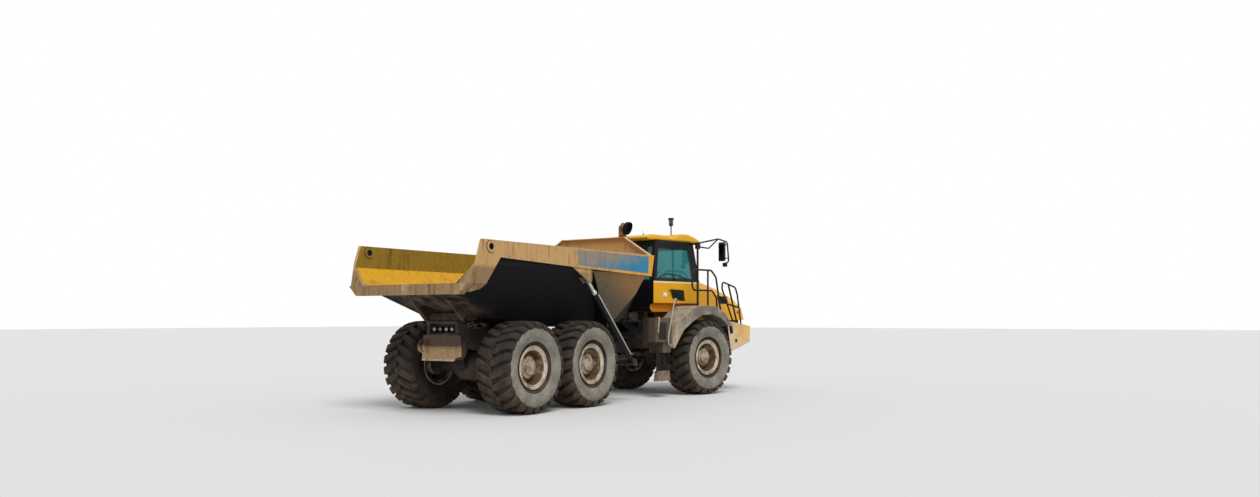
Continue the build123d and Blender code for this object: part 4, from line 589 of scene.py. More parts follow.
LAMP = [(0, 0.02), (0.014, 0.019), (0.028, 0.013), (0.033, 0.006), (0.04, 0.013), (0.048, 0.013),
    (0.0515, 0.008), (0.0515, -0.055), (0, -0.055)]
LENS_AND_RIM = [0, 0, 0, 1, 1, 1, 1, 1]
TAIL_LAMP_Z = 1.452
piece_from("tail_lamp_set", [turned(LAMP, 28, (-0.735, y, TAIL_LAMP_Z), (-1.5, y, TAIL_LAMP_Z), LENS_AND_RIM)
    for y in (-0.21, -0.075, 0.075, 0.21)], [lens_white, black_trim], "tail_lamps", body="rear_frame",
    slot="lamp_white")


# Bed. A welded body of hardened plate: box rails along the top, flared front corners and an open
# tail. Its paint is tan with dust and rust runs outside, yellow inside and black underneath, and
# the black also stands as painted shade on the recessed lower sides and in the post's recess.

BOSS_X, BOSS_Z = -1.16, 2.79
TAN, YELLOW, WORN_BAND, FLARE, BLACK_AND_SHADE = range(5)


def bed_face(face):
    """Which finish a face of the bed has, from its place and the way it looks."""
    centre, look = face.calc_center_median() - origin, face.normal
    corners = [vert.co - origin for vert in face.verts]
    x, z, y = centre.x, centre.z, abs(centre.y)
    low_x, high_x, low_z = min(v.x for v in corners), max(v.x for v in corners), min(v.z for v in corners)
    outward = look.y * (1 if centre.y > 0 else -1)
    # Inward faces at the post by the hoist's top are black as painted shade in the recess.
    if low_x > 0.98 and high_x < 1.66 and low_z > 2.25 and y > 1.28:
        return TAN if outward > -0.5 else BLACK_AND_SHADE
    # The faces round each boss's bore are black as painted shade.
    from_boss = math.hypot(x - BOSS_X, z - BOSS_Z)
    if (abs(x - BOSS_X) < 0.01 and abs(z - BOSS_Z) < 0.01) or (from_boss < 0.06 and high_x - low_x < 0.1):
        return BLACK_AND_SHADE
    if x > -1.6 and outward < -0.35 and 0.6 < y < 1.41:
        return WORN_BAND if outward < -0.95 else YELLOW
    if look.z > 0.25 and z < 2.4 and x > -1.45 and y < 1.2:
        return YELLOW
    if look.x < -0.3 < look.z and x > 2 and y < 0.2:
        return YELLOW
    if x < -1.4 or z > 2.86 or (outward > 0.9 and z > 2.66) or (x < -0.9 and y > 1 and look.z > -0.5):
        return TAN
    # The rest, underneath and on the recessed lower sides, is black paint that also stands as painted shade.
    return FLARE if outward > 0.85 and look.z < -0.3 and x > 2 else BLACK_AND_SHADE


def rail_paint(tree):
    """Worn tan along the rails, fresh orange-yellow at the front end and along the lower edge there."""
    x, _, z = machine_axes(tree)
    end = times(ramp(x, 3.44, 3.52), ramp(z, 2.91, 2.9))
    low_edge = ramp(times(x, 0.0305, z), 2.632, 2.612)
    low_edge = times(low_edge, ramp(x, 1.9, 2.7))
    low_down = times(ramp(z, 2.52, 2.42), 0.72)
    worn = mixed(low_down, (0.52, 0.305, 0.12), (0.19, 0.12, 0.062))
    fresh = times(sums("MAXIMUM", end, low_edge), 0.92)
    return mixed(fresh, worn, (0.72, 0.33, 0.018))


def inner_paint(tree):
    """Yellow inside, worn to tan in a strip along the tail edge that widens at the floor."""
    x, _, z = machine_axes(tree)
    edge = ramp(times(z, -0.39, x), -2.39, -2.41)
    corner = ramp(times(z, 1.49, x), 1.888, 1.828)
    return mixed(sums("MAXIMUM", edge, corner), (0.64, 0.33, 0.004), (0.34, 0.235, 0.13))


NOSE_LINE = 1.478 - 1.125 * 2.76     # where the flare's slanted front edge crosses x = 0


def flare_paint(tree):
    """Brown worn paint on the flared panel, darkened towards its lower rear as painted shade, and the black
    nose plate below its slanted front edge.
    """
    x, _, z = machine_axes(tree)
    over = times(x, -1.125, z)
    nose = ramp(over, NOSE_LINE - 0.006, NOSE_LINE + 0.006)
    # The panel darkens towards its lower rear as painted shade.
    near_top = ramp(times(x, 0.42, z), 2.95, 3.95)
    worn = mixed(near_top, (0.105, 0.082, 0.048), (0.36, 0.185, 0.06))
    return mixed(nose, (0.012, 0.011, 0.011), worn)


def under_paint(tree):
    """Black paint underneath and painted shade on the recessed lower sides, with brown mud thrown up on the
    middle of the tail.
    """
    x, y, _ = machine_axes(tree)
    middle = ramp(sums("ABSOLUTE", y), 0.95, 0.6)
    muddy = times(ramp(x, -0.3, -0.6), middle)
    patches = noise(4.5, 6, 0.65, node(tree, "TexCoord").outputs["Object"])
    share = times(muddy, ramp(patches, 0.36, 0.58))
    return mixed(share, (0.007, 0.007, 0.009), (0.105, 0.07, 0.044))


bed_tan = weathered("bed tan paint", rail_paint, (0.42, 0.3, 0.165), (0.12, 2.6), (1.2, 3.2), 0.3,
    stain=(0.06, 0.033, 0.014), streaks=(0.85, 15), grit=(0.35, 26), rough=0.65, bump=0.3)
bed_yellow = weathered("bed inner yellow", inner_paint, (0.22, 0.15, 0.05), (-0.2, 1.7), (1.2, 2.6), 0.1,
    streaks=(0.35, 7), grit=(0.3, 14))
bed_olive = weathered("bed worn upper band", (0.27, 0.172, 0.014), (0.19, 0.135, 0.055), (-0.02, 2.4),
    (1.2, 2.9), 0.1, streaks=(0.7, 9), grit=(0.45, 18), rough=0.7)
flare_brown = weathered("flared corner paint", flare_paint, (0.09, 0.068, 0.042), (-0.05, 1.5), (1.3, 2.4),
    0.2, streaks=(0.45, 6), grit=(0.35, 20), rough=0.75)
# Black paint, and painted shade on the recessed lower sides.
bed_black_and_shade = weathered("bed black paint and painted shade", under_paint, (0.036, 0.029, 0.025), (-0.1, 1.6), (1.3, 2.6), 0.2,
    grit=(0.4, 12), rough=0.7, shine=0.12)
pale_edge = weathered("rubbed headboard edge", (0.66, 0.5, 0.31), (0.46, 0.34, 0.2), (0.05, 5), (1.2, 3), 0.2,
    stain=(0.16, 0.09, 0.04), streaks=(0.5, 12), rough=0.7)
skin("welded_bed", "bed", [bed_tan, bed_yellow, bed_olive, flare_brown, bed_black_and_shade], "bed_tan", "bed",
    crease=20, mark=bed_face)
skin("folded_headboard", "headboard", [bed_tan, pale_edge], "bed_tan", "bed", crease=20,
    mark=lambda face: 1 if abs(face.normal.x) < 0.4 else 0)


# Bosses, sign band and fixings on the bed. The bosses take a tailgate's pivots; the band is a bare
# sheet in faded blue, riveted to the near rail; bolt heads run under each rail. The bores of the
# bosses and the outer edges of their rings are near-black as painted shade.

RAIL_FACE, RAIL_BACK = 1.463, 1.4
BOSS = [(0.0362, 0.0086), (0.054, 0.009), (0.057, 0.015), (0.092, 0.015), (0.096, 0.011), (0.103, 0.004),
    (0.103, -0.004), (0.0362, -0.004), (0.0362, 0.0086)]
# Near-black standing for painted shade: in bores, on ring edges and behind vents and louvres.
painted_shade_black = weathered("painted shade black", (0.008, 0.007, 0.007), (0.03, 0.022, 0.015), (0, 2), rough=0.9)
boss_sets = []
for hand in (1, -1):
    for face_y, out, ring_finish in ((RAIL_FACE, hand, 0), (RAIL_BACK, -hand, 2)):
        start = Vector((BOSS_X, hand * face_y, BOSS_Z))
        # The bands of the bore and of the ring's outer edge take the painted shade.
        finishes = [1, 1, ring_finish, ring_finish, 1, 1, 1, 1]
        boss_sets.append(turned(BOSS, 40, start, start + Vector((0, out, 0)), finishes))
piece_from("rail_bosses", boss_sets, [bed_tan, painted_shade_black, bed_olive], body="bed", slot="bed_tan")


def plate(outline, depth, mark=0):
    """A flat plate: an outline of points, and the step from its back face to its front face."""
    count = len(outline)
    corners = [tuple(Vector(p)) for p in outline] + [tuple(Vector(p) + Vector(depth)) for p in outline]
    faces = [list(range(count)), list(range(count, 2 * count))]
    faces += [[k, (k + 1) % count, (k + 1) % count + count, k + count] for k in range(count)]
    return corners, faces, mark


def faded_blue(tree):
    """Blue that has gone grey with dust towards the tail, and is freshest low down in front."""
    x, _, z = machine_axes(tree)
    patches = noise(6, 6, 0.65, node(tree, "TexCoord").outputs["Object"])
    share = times(ramp(x, 1.25, 3.5), 0.62, sums("SUBTRACT", patches, 0.62))
    share = times(ramp(z, 2.84, 2.54), 0.42, share)
    return mixed(ramp(share, 0.05, 0.75), (0.25, 0.215, 0.165), (0.018, 0.19, 0.32))


band_blue = weathered("faded blue sheet", faded_blue, (0.36, 0.28, 0.18), (-0.05, 5), (1.2, 2.6), 0.3,
    stain=(0.07, 0.045, 0.022), streaks=(0.45, 16), grit=(0.25, 30))
BAND_OUTLINE = [(1.2, 2.6), (3.478, 2.535), (3.5, 2.866), (1.12, 2.866)]
piece_from("blank_sign_band", [plate([(x, -RAIL_FACE - 0.0002, z) for x, z in BAND_OUTLINE], (0, -0.003, 0))],
    [band_blue], body="bed", slot="bed_tan", crease=20)

BOLT_SIZE = 0.014
for side, hand in SIDES:
    bolts = []
    for count in range(7):
        at = Vector((-0.7, hand * RAIL_FACE, 2.655)) + Vector((0.3, 0, -0.0092)) * count
        bolt = (*hexagon_nut(0, -0.002, BOLT_SIZE * 0.8, BOLT_SIZE), 0)
        bolts.append(put(toward(at, at + Vector((0, hand, 0))), bolt))
    piece_from(f"rail_bolts_{side}", bolts, [bed_tan], body="bed", slot="bed_tan")


# Tipping cylinders. Two-stage hydraulic cylinders: a black barrel on the frame with clamps and a
# bare pipe, a plated middle stage, and a plated rod whose eye is pinned under the bed's rail.

hoist_black = weathered("hoist barrel black", (0.008, 0.008, 0.009), (0.05, 0.04, 0.032), (-0.1, 6),
    (0.6, 1.3), 0.1, grit=(0.25, 40), bump=0.2, shine=0.2)
rod_steel = weathered("plated rod", (0.62, 0.6, 0.55), (0.3, 0.24, 0.17), (-0.02, 9), (0.6, 1.9), 0.1,
    grit=(0.15, 60), rough=0.22, metal=0.85, bump=0.05)
pipe_steel = weathered("bare pipe", (0.5, 0.46, 0.39), (0.25, 0.19, 0.13), (-0.02, 7), (0.6, 1.4), 0.1,
    grit=(0.3, 50), metal=0.2, bump=0.1)
HOIST_FOOT, HOIST_TOP = Vector((3.02, 1.37, 0.8)), Vector((1.558, 1.37, 2.339))
BARREL_SHARE = 0.84          # of the run from eye to eye, at rest
hoist_run = (HOIST_TOP - HOIST_FOOT).length
barrel_end = hoist_run * BARREL_SHARE
PIPE_OFF = Vector((0, 0.079, 0))


def hoist_eye(at, radius=0.058, width=0.066, bore=0.0303):
    """A ring on a pin across the machine, centred at a point."""
    profile = [(bore, -width / 2), (radius - 0.004, -width / 2), (radius, -width / 2 + 0.004),
        (radius, width / 2 - 0.004), (radius - 0.004, width / 2), (bore, width / 2), (bore, -width / 2)]
    return put(Matrix.Translation(at), lathe(profile, 32))


def on_hoist(profile, off=Vector((0, 0, 0)), steps=36, mark=0):
    return turned(profile, steps, HOIST_FOOT + off, HOIST_TOP + off, mark)


hoist_parts = {
    # Each profile is a row of (radius, distance from the foot).
    "hoist_barrel": [
        hoist_eye(HOIST_FOOT),
        on_hoist([(0, 0.05), (0.04, 0.05), (0.042, 0.14), (0.06, 0.16), (0.064, 0.17),
                  (0.064, barrel_end - 0.062), (0.075, barrel_end - 0.058), (0.075, barrel_end - 0.004),
                  (0.071, barrel_end), (0.057, barrel_end), (0.057, 0.19), (0, 0.19)]),
        *[on_hoist([(0.0605, at), (0.0665, at), (0.0685, at + 0.004), (0.0685, at + 0.026),
                    (0.0665, at + 0.03), (0.0605, at + 0.03), (0.0605, at)]) for at in (0.24, 0.78, 1.32)],
        on_hoist([(0, 0.2), (0.01, 0.2), (0.0125, 0.205), (0.0125, barrel_end - 0.035),
                  (0.01, barrel_end - 0.03), (0, barrel_end - 0.03)], PIPE_OFF, 14, 1)],
    "hoist_sleeve": [on_hoist([
        (0, 0.21), (0.05, 0.21), (0.0545, 0.216), (0.0545, barrel_end + 0.052), (0.052, barrel_end + 0.059),
        (0.044, barrel_end + 0.059), (0.044, 0.25), (0, 0.25)])],
    "hoist_rod": [hoist_eye(HOIST_TOP), on_hoist([
        (0, 0.27), (0.038, 0.27), (0.0415, 0.276), (0.0415, hoist_run - 0.075), (0.05, hoist_run - 0.06),
        (0.05, hoist_run - 0.045), (0, hoist_run - 0.045)])],
}
for stage, sets in hoist_parts.items():
    for side, hand in SIDES:
        black = stage == "hoist_barrel"
        piece_from(f"turned_{stage}_{side}", sets, [hoist_black, pipe_steel] if black else [rod_steel],
            f"{stage}_{side}", body=f"{stage}_{side}", slot="black_steel" if black else "rod_chrome",
            place=REAR_HALF @ Matrix.Scale(hand, 4, (0, 1, 0)))


# Hitch and steering cylinders. The hitch is a cast box with a roll bearing behind and a steering
# boss in front. A cylinder on each side pushes it round.

skin("cast_hitch", "hitch", [underside], "frame_dark", "hitch", crease=48)
for side in ("left", "right"):
    for stage, look, slot in (("barrel", black_trim, "black_steel"), ("rod", rod_steel, "rod_chrome")):
        cylinder = f"steering_{stage}_{side}"
        skin(f"turned_{cylinder}", cylinder, [look], slot, cylinder, crease=62)


# Front frame, axle and engine. Two deep beams with a pivot fork, a bulkhead and a service deck,
# with the driven axle on struts below. The engine is a plain cast block between the beams, and a
# finned black cowl of pressed steel stands on the beams in front of it.

engine_grey = weathered("engine casting", (0.1, 0.1, 0.1), (0.1, 0.075, 0.05), (0.25, 4), (0.6, 2), 0.3,
    grit=(0.5, 30), rough=0.6, bump=0.4)
for cad_node, look, slot in (("front_frame", underside, "frame_dark"),
    ("front_axle", underside, "frame_dark"), ("engine", engine_grey, "engine_grey")):
    skin(f"formed_{cad_node}", cad_node, [look], slot, crease=48)

COWL_OUTLINE = [(7.02, 0.65), (7.08, 0.712), (7.8, 0.7), (7.83, 0.64), (7.74, 0.58)]
COWL_LOW, COWL_HIGH = 1.285, 1.64
COWL_MIDDLE = 7.4
cowl_sets = []
for base, depth, proud in ((COWL_LOW, COWL_HIGH - COWL_LOW, 0),
    *((COWL_LOW + 0.05 + 0.06 * count, 0.012, 0.008) for count in range(4))):
    ring = [(x + (proud if x > COWL_MIDDLE else -proud), y + proud, base) for x, y in COWL_OUTLINE]
    ring += [(x, -y, z) for x, y, z in reversed(ring)]
    cowl_sets.append(plate(ring, (0, 0, depth)))
piece_from("finned_cooler_cowl", cowl_sets, [black_trim], crease=30)


# Fenders. Thick moulded rubber and plastic arches over the front tyres, grey-brown with dust that
# lies on their flat tops, with a rolled lip round the arch.

fender_grey = weathered("fender plastic", (0.155, 0.135, 0.11), (0.4, 0.325, 0.235), (0.46, 2.8), (0.8, 1.9),
    0.2, streaks=(0.3, 12), grit=(0.35, 30), rough=0.7)
skin("moulded_fenders", "fenders", [fender_grey], "fender_grey", edge=0.022, segments=3, crease=34)


# Step boxes. Plate boxes behind the fenders that hold the tank and the steps. Each has a folded
# tread, and a mud-covered step plate hangs below each on rubber straps and a rubber flap.

def box_paint(tree):
    """Grey-brown sheet, with painted shade where the well of the steps is in its outer side."""
    x, y, z = machine_axes(tree, FRONT_HALF)
    along = sums("ABSOLUTE", sums("SUBTRACT", x, 4.4))
    tall = sums("ABSOLUTE", sums("SUBTRACT", z, 1.38))
    well_shade = times(ramp(along, 0.125, 0.115), ramp(tall, 0.185, 0.175))
    well_shade = times(well_shade, ramp(sums("ABSOLUTE", y), 1.415, 1.42))
    return mixed(well_shade, (0.11, 0.082, 0.055), (0.016, 0.013, 0.011))


box_brown = weathered("step box paint", box_paint, (0.135, 0.098, 0.064), (0.1, 3), (0.7, 1.5), 0.35,
    streaks=(0.55, 10), grit=(0.5, 18), rough=0.75, bump=0.5)
step_mud = weathered("mud on the low step", (0.1, 0.075, 0.055), (0.26, 0.175, 0.115), (0.45, 5), (0.7, 1.2),
    grit=(0.7, 14), rough=0.9, bump=0.9)
strap_rubber = weathered("strap rubber", (0.014, 0.013, 0.012), (0.06, 0.045, 0.032), (0.05, 9), (0.5, 1),
    rough=0.8, shine=0.15)


def step_face(face):
    """The low step is caked with mud and hangs on rubber straps."""
    heights = [vert.co.z - origin.z for vert in face.verts]
    if max(heights) < 0.62:
        return 1
    return 2 if min(heights) < 0.7 else 0


for side, hand in SIDES:
    skin(f"folded_step_box_{side}", f"step_box_{side}", [box_brown, step_mud, strap_rubber], "body_yellow",
        edge=0.006, mark=step_face)
    flap = [(4.3, hand * 1.335, 0.545), (4.64, hand * 1.335, 0.545), (4.63, hand * 1.325, 0.935),
        (4.31, hand * 1.325, 0.935)]
    piece_from(f"step_flap_{side}", [plate(flap, (0, hand * 0.01, 0))], [strap_rubber])


# Bumper. A heavy welded wrap-round bumper, yellow at its top corner and pale with dried mud below,
# with a tow hole in each side and a lamp in each slanted corner. Its downward and rearward faces, a
# slot in each side and the tow holes are near-black as painted shade.

def across_front(normal):
    """A piece's normal, read along the straight front half."""
    return Matrix.Rotation(-REST_TURN, 3, "Z") @ normal


bumper_cream = weathered("bumper paint", (0.74, 0.43, 0.08), (0.58, 0.42, 0.29), (0.34, 2.2), (0.9, 1.75),
    0.1, streaks=(0.25, 10), grit=(0.2, 24), rough=0.55, bump=0.2)
bumper_shade_black = weathered("bumper underside painted shade", (0.016, 0.014, 0.013), (0.06, 0.045, 0.032), (0.05, 2),
    rough=0.8, shine=0.15)
# Faces that look down or to the rear take the near-black as painted shade.
skin("welded_bumper", "bumper", [bumper_cream, bumper_shade_black], "body_yellow", edge=0.012, segments=3,
    mark=lambda face: 1 if face.normal.z < -0.5 or across_front(face.normal).x < -0.8 else 0)

BUMPER_SLOT = [(6.745, 1.535), (6.85, 1.52), (6.905, 1.33), (6.87, 1.3), (6.8, 1.3)]
TOW_HOLE = [(0, -0.02), (0.026, -0.02), (0.028, 0.006), (0.036, 0.0065), (0.039, 0.002), (0.039, -0.03),
    (0, -0.03)]
BIG_LAMP = [(0, 0.04), (0.03, 0.038), (0.06, 0.03), (0.07, 0.022), (0.075, 0.026), (0.082, 0.026),
    (0.085, 0.018), (0.085, 0.0003), (0, 0.0003)]
slot_sets, lamp_sets = [], []
for hand in (1, -1):
    # A slot plate and a tow-hole cup on each side, near-black as painted shade.
    slot_sets.append(plate([(x, hand * 1.26, z) for x, z in BUMPER_SLOT], (0, hand * 0.003, 0)))
    slot_sets.append(turned(TOW_HOLE, 24, (7.02, hand * 1.255, 1.139), (7.02, hand * 2, 1.139)))
    middle = Vector((7.77, hand * 0.97, 1.29))
    corner_facing = Vector((0.54, hand * 0.46, 0)).normalized()
    lamp_sets.append(turned(BIG_LAMP, 36, middle, middle + corner_facing, LENS_AND_RIM))
piece_from("bumper_slots_and_holes", slot_sets, [bumper_shade_black])
piece_from("corner_headlamps", lamp_sets, [lens_white, black_trim], "headlamps", slot="lamp_white")


# Cab. A welded shell: yellow panels below the waist, black round the windows, with a pale line
# between, and tinted glass bonded in. The door has its own panel, handle and pane.

def cab_paint(tree):
    """Yellow below the waist, a pale worn line along it, black above."""
    _, _, height = machine_axes(tree)
    yellow = mixed(ramp(height, 1.985, 1.955), (0.76, 0.365, 0.01), (0.66, 0.23, 0.006))
    yellow = filled(tree, STREAKED, Paint=yellow, Stain=(0.3, 0.17, 0.05), Amount=0.25, Spacing=8)["Colour"]
    line = mixed(sums("GREATER_THAN", height, 2.395), yellow, (0.87, 0.68, 0.36))
    return mixed(sums("GREATER_THAN", height, 2.428), line, (0.006, 0.006, 0.008))


def dress(cad_node, look):
    """A CAD node keeps its shape and takes a finish."""
    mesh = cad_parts[cad_node].data
    mesh.materials.clear()
    mesh.materials.append(look)


cab_black = weathered("cab back wall", (0.006, 0.006, 0.008), (0.04, 0.032, 0.025), (0, 3), (1.7, 2.3), 0.1,
    grit=(0.2, 30), bump=0.1, shine=0.15)
cab_coat = weathered("cab paint", cab_paint, (0.42, 0.31, 0.18), (-0.22, 2), (1.5, 2.3), 0.15, grit=(0.1, 20),
    rough=0.42, bump=0.06, shine=0.18)
cab_grey = weathered("cab fittings", (0.04, 0.04, 0.042), (0.12, 0.1, 0.08), (-0.2, 5), (1.6, 2.2),
    grit=(0.3, 60), rough=0.7, bump=0.2)
teal_glass = dusted("tinted glass", (0.13, 0.43, 0.43), (0.16, 0.24, 0.22), (-0.26, 2.5), (2.2, 2.9), 0,
    (0.03, 0.35), Transmission_Weight=0.9, IOR=1.4)[0]
skin("welded_cab", "cab_shell", [cab_coat, cab_black], "body_yellow", crease=24,
    mark=lambda face: 1 if across_front(face.normal).x < -0.5 else 0)
skin("cab_door", "door", [cab_coat], "body_yellow", "door", crease=24)
dress("cab_glass", teal_glass)
dress("door_glass", teal_glass)
dress("cab_interior", cab_grey)

CAB_FACE = -0.9505           # the right side's plane, just proud of the panel
VENT_OUTLINE = [(5.165, 2.262), (5.59, 2.248), (5.625, 2.016), (5.33, 2.03), (5.25, 2.075)]
# The plate behind the slats is near-black as painted shade in the inlet.
vent_sets = [plate([(x, CAB_FACE, z) for x, z in VENT_OUTLINE], (0, -0.006, 0))]
for count in range(4):
    back, low = 5.3 - 0.02 * count, 2.055 + 0.048 * count
    vent_sets.append(
        plate([(back, -0.956, low), (5.575, -0.956, low), (5.575, -0.956, low + 0.014),
        (back, -0.956, low + 0.014)], (0, -0.012, -0.008), 1))
piece_from("cab_air_inlet", vent_sets, [painted_shade_black, black_trim], "cab_vent")


# Trim on the cab: a rubber seal under the pane, the wiper with its arc, a filler cap and a door
# handle. Rubber and plastic, pressed or screwed on.

rubber = weathered("black rubber", (0.012, 0.012, 0.012), (0.1, 0.08, 0.06), (-0.15, 2), (1.6, 2.6),
    rough=0.6, bump=0.1)
cap_white = weathered("white plastic cap", (0.74, 0.73, 0.68), (0.42, 0.33, 0.22), (-0.1, 2), (1.4, 2.4),
    rough=0.4)
CAP = [(0, 0.026), (0.038, 0.026), (0.046, 0.02), (0.048, 0.004), (0.058, 0.002), (0.058, -0.004),
    (0, -0.004)]
piece_from("filler_cap", [turned(CAP, 32, (5, -0.95, 2.135), (5, -2, 2.135))], [cap_white], slot="lamp_white")


def rounded(points, bend):
    """The points of a bent bar: each corner of a run is turned with an arc of a bend radius."""
    route = [Vector(points[0])]
    for before, at, after in zip(points, points[1:], points[2:]):
        before, at, after = Vector(before), Vector(at), Vector(after)
        back, on = before - at, after - at
        reach = min(bend / math.tan(back.angle(on) / 2), back.length * 0.48, on.length * 0.48)
        start, end = at + back.normalized() * reach, at + on.normalized() * reach
        for share in (0, 0.2, 0.4, 0.6, 0.8, 1):
            route.append(start.lerp(at, share).lerp(at.lerp(end, share), share))
    return route + [Vector(points[-1])]


def bent_tube(points, radius, bend, sides=12):
    """A steel tube bent along a run of points: corners and faces, with closed ends."""
    route = rounded(points, bend)
    corners, faces, side = [], [], None
    for k, at in enumerate(route):
        run = (route[min(k + 1, len(route) - 1)] - route[max(k - 1, 0)]).normalized()
        if side is None:
            side = run.cross(Vector((0, 0, 1)) if abs(run.z) < 0.95 else Vector((1, 0, 0))).normalized()
        side = (side - run * side.dot(run)).normalized()
        top = side.cross(run)
        turns = [2 * math.pi * j / sides for j in range(sides)]
        corners += [tuple(at + (side * math.cos(turn) + top * math.sin(turn)) * radius) for turn in turns]
        if k:
            pairs = [((k - 1) * sides + j, (k - 1) * sides + (j + 1) % sides) for j in range(sides)]
            faces += [[a, b, b + sides, a + sides] for a, b in pairs]
    faces += [list(range(sides)), list(range(len(corners) - sides, len(corners)))]
    return corners, faces, 0


PANE_SEAL = [(4.672, 2.436), (5.832, 2.436), (5.818, 2.5), (4.672, 2.5)]
piece_from("pane_bottom_seal", [plate([(x, CAB_FACE, z) for x, z in PANE_SEAL], (0, -0.005, 0))], [rubber])
WIPER_ARC = [(4.76, 2.48), (4.93, 2.56), (5.12, 2.592), (5.36, 2.566), (5.66, 2.5)]
WIPER_ARM = [(5.3, 2.45), (5.22, 2.58)]
piece_from("side_wiper", [bent_tube([(x, -0.966, z) for x, z in points], radius, bend) for points, radius,
    bend in ((WIPER_ARC, 0.011, 0.3), (WIPER_ARM, 0.013, 0.05))], [rubber], crease=45)
HANDLE = [(5.46, 0.945, 2.24), (5.46, 0.985, 2.24), (5.58, 0.985, 2.24), (5.58, 0.945, 2.24)]
piece_from("door_handle", [bent_tube(HANDLE, 0.01, 0.02)], [rubber], body="door", crease=45)


# Roof. A pressed plastic cap with two low humps over the front corners, dark below its edge,
# with a short aerial behind. The beacon stands on a pole at the front.

roof_yellow = weathered("roof plastic", (0.8, 0.395, 0.008), (0.55, 0.36, 0.12), (-0.24, 1.8), (1.5, 2.6),
    0.15, stain=(0.36, 0.19, 0.04), streaks=(0.2, 8), grit=(0.08, 30), rough=0.4, bump=0.05)
skin("pressed_roof", "cab_roof", [roof_yellow], "roof_yellow", edge=0.035, segments=4, crease=34)
piece_from("roof_aerial", [bent_tube([(4.8, -0.5, 3.4), (4.78, -0.5, 3.52)], 0.004, 0.01),
    bent_tube([(4.8, -0.5, 3.4), (4.8, -0.5, 3.455)], 0.014, 0.01)], [black_trim], crease=45)
amber = dusted("amber lens", (0.02, 0.01, 0.006), (0.06, 0.05, 0.04), (-0.1, 9), (1, 2), 0.2, None,
    Roughness=0.2, Coat_Weight=0.5)[0]
BEACON = [(0, 0.302), (0.052, 0.3), (0.067, 0.29), (0.069, 0.272), (0.06, 0.262), (0.05, 0.256),
    (0.049, 0.18), (0.05, 0.14), (0.044, 0.126), (0.024, 0.118), (0.0135, 0.11), (0.0135, -0.18), (0, -0.18)]
piece_from("beacon_on_pole",
    [turned(BEACON, 28, (5.9, -0.3, 3.587), (5.9, -0.3, 4.6), [0, 0, 0, 0, 0, 1, 1, 0, 0, 0, 0, 0])],
    [black_trim, amber], "beacon", slot="beacon_amber")


# Bonnet. One moulded lid hinged in front, yellow with a louvred vent in each side whose back plate
# is near-black as painted shade, a pale marker lamp and a red reflector near its front corners, and a
# slatted grille.

bonnet_yellow = weathered("bonnet paint", (0.78, 0.375, 0.01), (0.5, 0.36, 0.18), (-0.16, 2.2), (1.45, 2.1),
    0.12, stain=(0.3, 0.17, 0.05), streaks=(0.2, 9), grit=(0.1, 30), rough=0.42, bump=0.06, coat=0.06)
skin("moulded_bonnet", "bonnet", [bonnet_yellow], "body_yellow", "bonnet", edge=0.004, crease=34)
dress("grille", black_trim)
red_lens = weathered("red reflector", (0.45, 0.02, 0.012), (0.2, 0.12, 0.08), (-0.05, 12), (1, 2), rough=0.25)
MARKERS = ((7.702, 1.868, 0.042, 0), (7.69, 1.78, 0.036, 1))      # x, z, radius, finish
louvre_sets, marker_sets = [], []
for hand in (1, -1):
    # The plate behind the louvres is near-black as painted shade.
    louvre_sets.append(
        plate([(6.86, hand * 0.74, 1.955), (7.33, hand * 0.74, 1.955), (7.33, hand * 0.715, 2.13),
        (6.86, hand * 0.72, 2.18)], (0, -hand * 0.004, 0)))
    for count in range(4):
        back, low = 6.95 - 0.02 * count, 1.995 + 0.042 * count
        louvre_sets.append(
            plate([(back, hand * 0.8, low), (7.305, hand * 0.776, low - 0.003 * count),
            (7.305, hand * 0.776, low + 0.012), (back, hand * 0.8, low + 0.015)], (0, -hand * 0.03, 0.012),
            1))
    for x, z, radius, mark in MARKERS:
        profile = [(0, 0.012), (radius * 0.7, 0.01), (radius, 0.003), (radius, -0.03), (0, -0.03)]
        marker_sets.append(turned(profile, 20, (x, hand * 0.7615, z), (x, hand * 2, z), mark))
piece_from("bonnet_louvres", louvre_sets, [painted_shade_black, black_trim], body="bonnet")
piece_from("bonnet_marker_lamps", marker_sets, [cap_white, red_lens], body="bonnet", slot="lamp_white")


# Handrails and grab loops. Bent steel tube: black rails bolted beside the bonnet and on the
# bumper, paler worn loops beside the steps.

